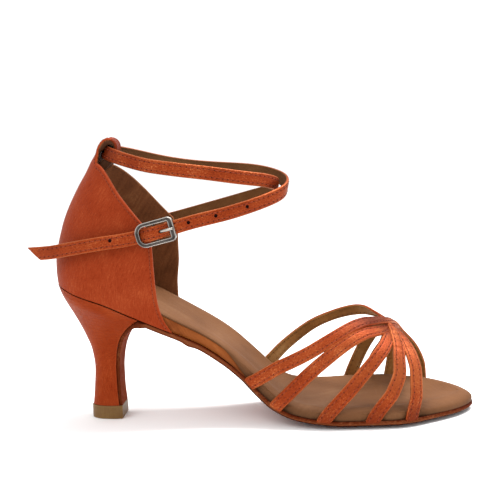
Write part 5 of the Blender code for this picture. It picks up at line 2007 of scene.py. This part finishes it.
@dataclass
class AnkleStrap:
    """Long band twice round the ankle, through the back loop and the buckle."""

    wardrobe: Wardrobe
    stitching: Stitching
    buckle: "Buckle"
    band: Band = field(default_factory=Band)
    slant: float = 1.1
    slant_reach: float = 5.25
    step: float = 1.4
    wave: float = 0.07
    wave_rates: tuple[float, float] = (0.23, 0.071)
    wave_start: float = 0.8
    punch: float = 0.9
    punch_span: tuple[float, float] = (-0.35, 2.0)
    prong_slot: tuple[float, float] = (2.3, 4.9)
    slot_half: float = 0.95
    slot_span: tuple[float, float] = (-1.5, 5.5)
    unsewn: tuple[float, float] = (3.0, 4.5)
    # Painted shade on the strap where it runs through the back loop, and its reach
    loop_painted_shade: float = -0.75
    loop_reach: float = 13.0

    def relief(self, along: Array, across: Array) -> Array:
        """Slight waviness of a worn strap.

        Args:
            along, across: Places on the strap.

        Returns:
            Height of the outer face.
        """
        quick, slow = self.wave_rates
        wave = self.wave * np.sin(along * quick) * np.sin(along * slow + self.wave_start)
        return wave[:, None] * np.ones((1, len(across)))

    def cutters(self, path: Array, across: Array, outward: Array) -> bpy.types.Object:
        """Tools that punch the holes.

        Args:
            path, across, outward: Route of the strap.

        Returns:
            One object of all the tools.
        """
        along = arc(path)
        cloth = Cloth()
        turn = np.linspace(0.0, 2 * math.pi, ROUND_POINTS, endpoint=False)
        run = unit(np.gradient(path, axis=0))
        for from_tip, above in PUNCH_TABLE.rows:
            i = int(np.argmin(np.abs(along[-1] - from_tip - along)))
            middle = path[i] + across[i] * above
            circle = middle + self.punch * (np.cos(turn)[:, None] * run[i] + np.sin(turn)[:, None] * across[i])
            cloth.loops(np.stack([circle + outward[i] * out for out in self.punch_span]))
        low, high = self.prong_slot
        centre, reach = (low + high) / 2, (high - low) / 2
        oval = [(centre + reach * math.cos(a), self.slot_half * math.sin(a)) for a in turn]
        cloth.loops(np.stack([self.buckle.place([(a, b, out) for a, b in oval]) for out in self.slot_span]))
        # The tools' dark finish passes to the walls of the holes as painted shade
        return cloth.build("punch", self.wardrobe.several(Skin.NEEDLE))

    def build(self) -> None:
        """Builds the strap, punches it and sews it."""
        read = natural_curve(np.array(ANKLE_TABLE.rows), self.step)
        path = read[:, :3]
        run = unit(np.gradient(path, axis=0))
        lean = np.radians(read[:, 3])
        up = np.stack([np.sin(lean), np.zeros_like(lean), np.cos(lean)], axis=-1)
        across = unit(up - run * np.sum(up * run, axis=1, keepdims=True))
        outward = np.cross(across, run)
        along = arc(path)
        shear = self.slant * np.clip(1 - (along[-1] - along) / self.slant_reach, 0.0, 1.0)
        _, layers, folds = self.band.section()
        cloth = Cloth()
        rings = self.band.rings(path, across, outward, shear, self.relief)
        # Painted shade on the strap near its highest point, inside the back loop
        away = np.linalg.norm(rings.mean(axis=1) - path[np.argmax(path[:, 2])], axis=1)
        painted_shade = self.loop_painted_shade * hill(away, self.loop_reach)
        cloth.loops(rings, layers, folds + painted_shade[:, None])
        satin, lining = self.wardrobe.several(Skin.STRAP_SATIN, Skin.ANKLE_LINING)
        strap = cloth.build("ankle_strap", [satin, lining], sharp=60.0)
        tools = self.cutters(path, across, outward)
        cut = strap.modifiers.new("punch", "BOOLEAN")
        cut.operation, cut.solver, cut.object = "DIFFERENCE", "EXACT", tools
        cut.material_mode = "TRANSFER"
        plain(strap)
        bpy.data.objects.remove(tools, do_unlink=True)
        settle(strap, "satin", "ankle_strap")
        rows = self.band.rows(path, across, outward, *self.unsewn, self.relief)
        thread, shadow = self.wardrobe.several(Skin.STRAP_THREAD, Skin.NEEDLE)
        settle(self.stitching.sew("ankle_stitching", rows, thread, shadow), "satin")


@dataclass
class Buckle:
    """Fastened buckle: dished frame, centre bar, prong and the tab that carries it."""

    wardrobe: Wardrobe
    middle: tuple[float, float, float] = (58.2, -30.8, 100.5)
    tilt: float = 13.5
    long: float = 19.6
    tall: float = 12.4
    rail: float = 2.0
    rail_out: float = 1.9
    bar_radius: float = 0.9
    bar_out: float = -0.6
    bar_corner: float = 0.8
    bar_cut: float = 0.3
    corner_steps: int = 15
    gap: float = 0.3
    prong_radius: float = 0.75
    prong_hook: tuple[float, float, int] = (320.0, 75.0, 11)
    prong_line: tuple[tuple[float, float], ...] = ((3.4, -1.5), (6.0, -0.3), (8.4, 0.0), (9.6, -0.2))
    prong_step: float = 0.35
    prong_point: float = 0.75
    prong_blunt: float = 0.02
    prong_highlight: float = 0.9
    tab_band: Band = Band(width=6.6, thick=1.1, fold=0.4, crown=0.0, inset=1.2, groove=0.06,
                          lining_inset=0.6, lining_drop=0.06)
    tab_flat: tuple[float, float, int] = (-9.5, -0.6, 8)
    tab_turn: tuple[float, float, int] = (-90.0, 150.0, 30)

    def axes(self) -> Array:
        """Directions along, across and out of the buckle.

        Returns:
            The directions as rows.
        """
        tilt = math.radians(self.tilt)
        return np.array([[math.cos(tilt), 0.0, math.sin(tilt)], [-math.sin(tilt), 0.0, math.cos(tilt)],
                         [0.0, -1.0, 0.0]])

    def place(self, points: Sequence[Sequence[float]]) -> Array:
        """Points of the buckle's own frame set on the shoe."""
        return np.array(self.middle) + np.asarray(points, dtype=float) @ self.axes()

    def frame_rings(self) -> Array:
        """Rings of the dished frame, in its own frame.

        Returns:
            Rings of points, the last on the first.
        """
        long, tall = (self.long - self.rail) / 2, (self.tall - self.rail) / 2
        reach, out = (RAIL_TABLE.column(name) * self.rail / 2 for name in ("across", "out"))
        rings = []
        for start, side_along, side_across, radius, broad in CORNER_TABLE.rows:
            for turn in np.radians(np.linspace(start, start + 90.0, self.corner_steps)):
                way = np.array([math.cos(turn), math.sin(turn)])
                middle = np.array([side_along * (long - radius), side_across * (tall - radius)]) + radius * way
                wide = reach * (1.0 + broad * max(0.0, way[0]))
                rings.append(np.column_stack([middle + wide[:, None] * way, self.rail_out + out]))
        return np.array(rings + rings[:1])

    def rod(self, path: Array, radius: Array) -> Array:
        """Rings of a round rod along a path in the buckle's frame.

        Args:
            path: Middle of the rod.
            radius: Radius at each point.

        Returns:
            Rings of points.
        """
        run = unit(np.gradient(path, axis=0))
        turn = np.linspace(0.0, 2 * math.pi, ROUND_POINTS, endpoint=False)
        rings = []
        for middle, way, size in zip(path, run, radius):
            guide = np.array([1.0, 0.0, 0.0]) if abs(way[1]) > 0.9 else np.array([0.0, 1.0, 0.0])
            first = unit(np.cross(guide, way))
            second = np.cross(way, first)
            rings.append(middle + size * (np.cos(turn)[:, None] * first + np.sin(turn)[:, None] * second))
        return np.array(rings)

    def bend(self, half: float, turn: tuple[float, float, int]) -> list[tuple[float, float, float]]:
        """Path bent round the bar.

        Args:
            half: Half the thickness of what is bent.
            turn: First angle, last angle and number of points.

        Returns:
            Points in the buckle's frame.
        """
        radius = self.bar_radius + self.gap + half
        angles = np.radians(np.linspace(*turn))
        return [(radius * math.cos(a), 0.0, self.bar_out + radius * math.sin(a)) for a in angles]

    def frame(self) -> None:
        """Frame and centre bar."""
        cloth = Cloth()
        # Painted highlights on the rims and painted shade in the dish
        cloth.loops(self.place(self.frame_rings()), None, RAIL_TABLE.column("edge_lightening"), (False, False))
        tall = (self.tall - self.rail) / 2
        corner, cut = self.bar_corner, self.bar_corner * self.bar_cut
        low, high = self.bar_out, self.rail_out
        half = [(tall, high), (tall, low + corner), (tall - cut, low + cut), (tall - corner, low)]
        staple = [(0.0, -b, o) for b, o in half] + [(0.0, b, o) for b, o in reversed(half)]
        cloth.loops(self.place(self.rod(np.array(staple), np.full(len(staple), self.bar_radius))))
        made = cloth.build("buckle_frame", self.wardrobe.several(Skin.STEEL), sharp=48.0)
        settle(made, "steel", "buckle_frame")

    def prong(self) -> None:
        """Pin hooked round the bar, its tip on the front rail."""
        path = self.bend(self.prong_radius, self.prong_hook)
        rest = self.rail_out + self.rail / 2 + self.gap + self.prong_radius
        path += [(along, 0.0, rest + out) for along, out in self.prong_line]
        line = natural_curve(np.array(path), self.prong_step)
        left = arc(line)[-1] - arc(line)
        point = 1 - np.clip(1 - left / self.prong_point, 0.0, 1.0) ** 2
        rings = self.rod(line, self.prong_radius * np.sqrt(np.clip(point, self.prong_blunt, 1.0)))
        cloth = Cloth()
        # The prong is painted bright all over, a painted highlight
        cloth.loops(self.place(rings), None, np.full(rings.shape[1], self.prong_highlight))
        settle(cloth.build("buckle_prong", self.wardrobe.several(Skin.STEEL)), "steel", "buckle_prong")

    def tab(self) -> None:
        """Leather tab folded round the bar."""
        bend = self.bend(self.tab_band.thick / 2, self.tab_turn)
        line = self.place([(along, 0.0, bend[0][2]) for along in np.linspace(*self.tab_flat)] + bend)
        run = unit(np.gradient(line, axis=0))
        across = np.broadcast_to(self.axes()[1], run.shape)
        _, layers, folds = self.tab_band.section()
        cloth = Cloth()
        cloth.loops(self.tab_band.rings(line, across, np.cross(across, run), np.zeros(len(line)),
                                        lambda along, s: np.zeros((len(along), len(s)))), layers, folds)
        made = cloth.build("buckle_tab", self.wardrobe.several(Skin.TAB, Skin.ANKLE_LINING), sharp=60.0)
        settle(made, "tab", "buckle_tab")

    def build(self) -> None:
        """Builds the buckle's pieces."""
        self.frame()
        self.prong()
        self.tab()


@dataclass(frozen=True)
class Lamp:
    """Soft lamp of the studio."""

    name: str
    place: tuple[float, float, float]
    aim: tuple[float, float, float]
    size: tuple[float, float]
    power: float


@dataclass
class Studio:
    """White floor, soft light and the camera."""

    camera_place: tuple[float, float, float] = (148.81132372, -590.19530454, 160.17134087)
    right: tuple[float, float, float] = (0.99664696, 0.07413025, -0.03463429)
    up: tuple[float, float, float] = (0.02514362, 0.12533138, 0.99179627)
    lens: float = 82.8
    sensor: float = 36.0
    clip: tuple[float, float] = (0.02, 60.0)
    sky: float = 1.12
    lamp_up: tuple[float, float, float] = (0.0, 1.0, 0.02)
    floor_half: float = 6.0
    floor_cloud: float = 3.0
    floor_rough: float = 0.8
    floor_gloss: float = 0.1
    floor_tones: tuple[Colour, Colour] = ((0.93, 0.93, 0.93), (0.95, 0.95, 0.95))
    lamps: tuple[Lamp, ...] = (
        Lamp("key", (-0.45, -0.75, 0.95), (0.0, 0.0, 0.05), (0.6, 0.6), 4.0),
        Lamp("top", (0.28, 0.18, 0.80), (0.05, 0.0, 0.0), (0.7, 0.3), 11.0),
    )

    def camera(self) -> None:
        """Camera at the photograph's angle."""
        data = bpy.data.cameras.new("camera")
        data.lens, data.sensor_width, data.sensor_height = self.lens, self.sensor, self.sensor
        data.clip_start, data.clip_end = self.clip
        place = (np.array(self.camera_place) - ORIGIN) * MM
        bpy.context.scene.camera = self.stand("camera", data, self.right, self.up, place)

    @staticmethod
    def stand(name: str, data: bpy.types.ID, right: Sequence[float], up: Sequence[float],
              place: Sequence[float]) -> bpy.types.Object:
        """Stands a camera or lamp in its place.

        Args:
            name: Its name.
            data: Camera or lamp.
            right, up: Its directions.
            place: Where it stands, in metres.

        Returns:
            The object.
        """
        made = link(name, data)
        turn = np.eye(4)
        turn[:3] = np.stack([right, up, np.cross(right, up), place], axis=1)
        made.matrix_world = Matrix(turn.tolist())
        return made

    def light(self) -> None:
        """Bright even surroundings and two soft lamps."""
        world = bpy.data.worlds.new("studio")
        world.use_nodes = True
        back = world.node_tree.nodes["Background"]
        back.inputs["Color"].default_value = (1.0, 1.0, 1.0, 1.0)
        back.inputs["Strength"].default_value = self.sky
        bpy.context.scene.world = world
        bpy.context.scene.view_settings.view_transform = "Standard"
        for lamp in self.lamps:
            data = bpy.data.lights.new(lamp.name, "AREA")
            data.shape, data.energy = "RECTANGLE", lamp.power
            data.size, data.size_y = lamp.size
            away = unit(np.array(lamp.place) - np.array(lamp.aim))
            side = unit(np.cross(self.lamp_up, away))
            self.stand(lamp.name, data, side, np.cross(away, side), lamp.place)

    def floor(self) -> None:
        """Plain pale floor."""
        mesh = bpy.data.meshes.new("floor")
        half = self.floor_half
        mesh.from_pydata([(-half, -half, 0.0), (half, -half, 0.0), (half, half, 0.0), (-half, half, 0.0)], [],
                         [(0, 1, 2, 3)])
        shader = Shader("floor_paper")
        cloud = shader.noise(shader.place(), self.floor_cloud)
        shader.finish(shader.mix(cloud, *self.floor_tones), self.floor_rough, None, 0.0,
                      {"Specular IOR Level": self.floor_gloss})
        put("floor", mesh, [shader.material], 30.0)

    def build(self) -> None:
        """Sets up the studio."""
        self.camera()
        self.light()
        self.floor()


def main() -> None:
    """Builds the shoe's pieces in order, in their studio."""
    logging.basicConfig(level=logging.INFO, format="%(name)s %(message)s")
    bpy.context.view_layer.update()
    form, wardrobe, stitching = Form(), Wardrobe(), Stitching()
    Studio().build()
    Sole(form, wardrobe).build()
    Heel(form, wardrobe).build()
    Quarter(form, wardrobe, stitching).build()
    Vamp(form, wardrobe, stitching).build()
    buckle = Buckle(wardrobe)
    AnkleStrap(wardrobe, stitching, buckle).build()
    buckle.build()


if __name__ == "__main__":
    main()
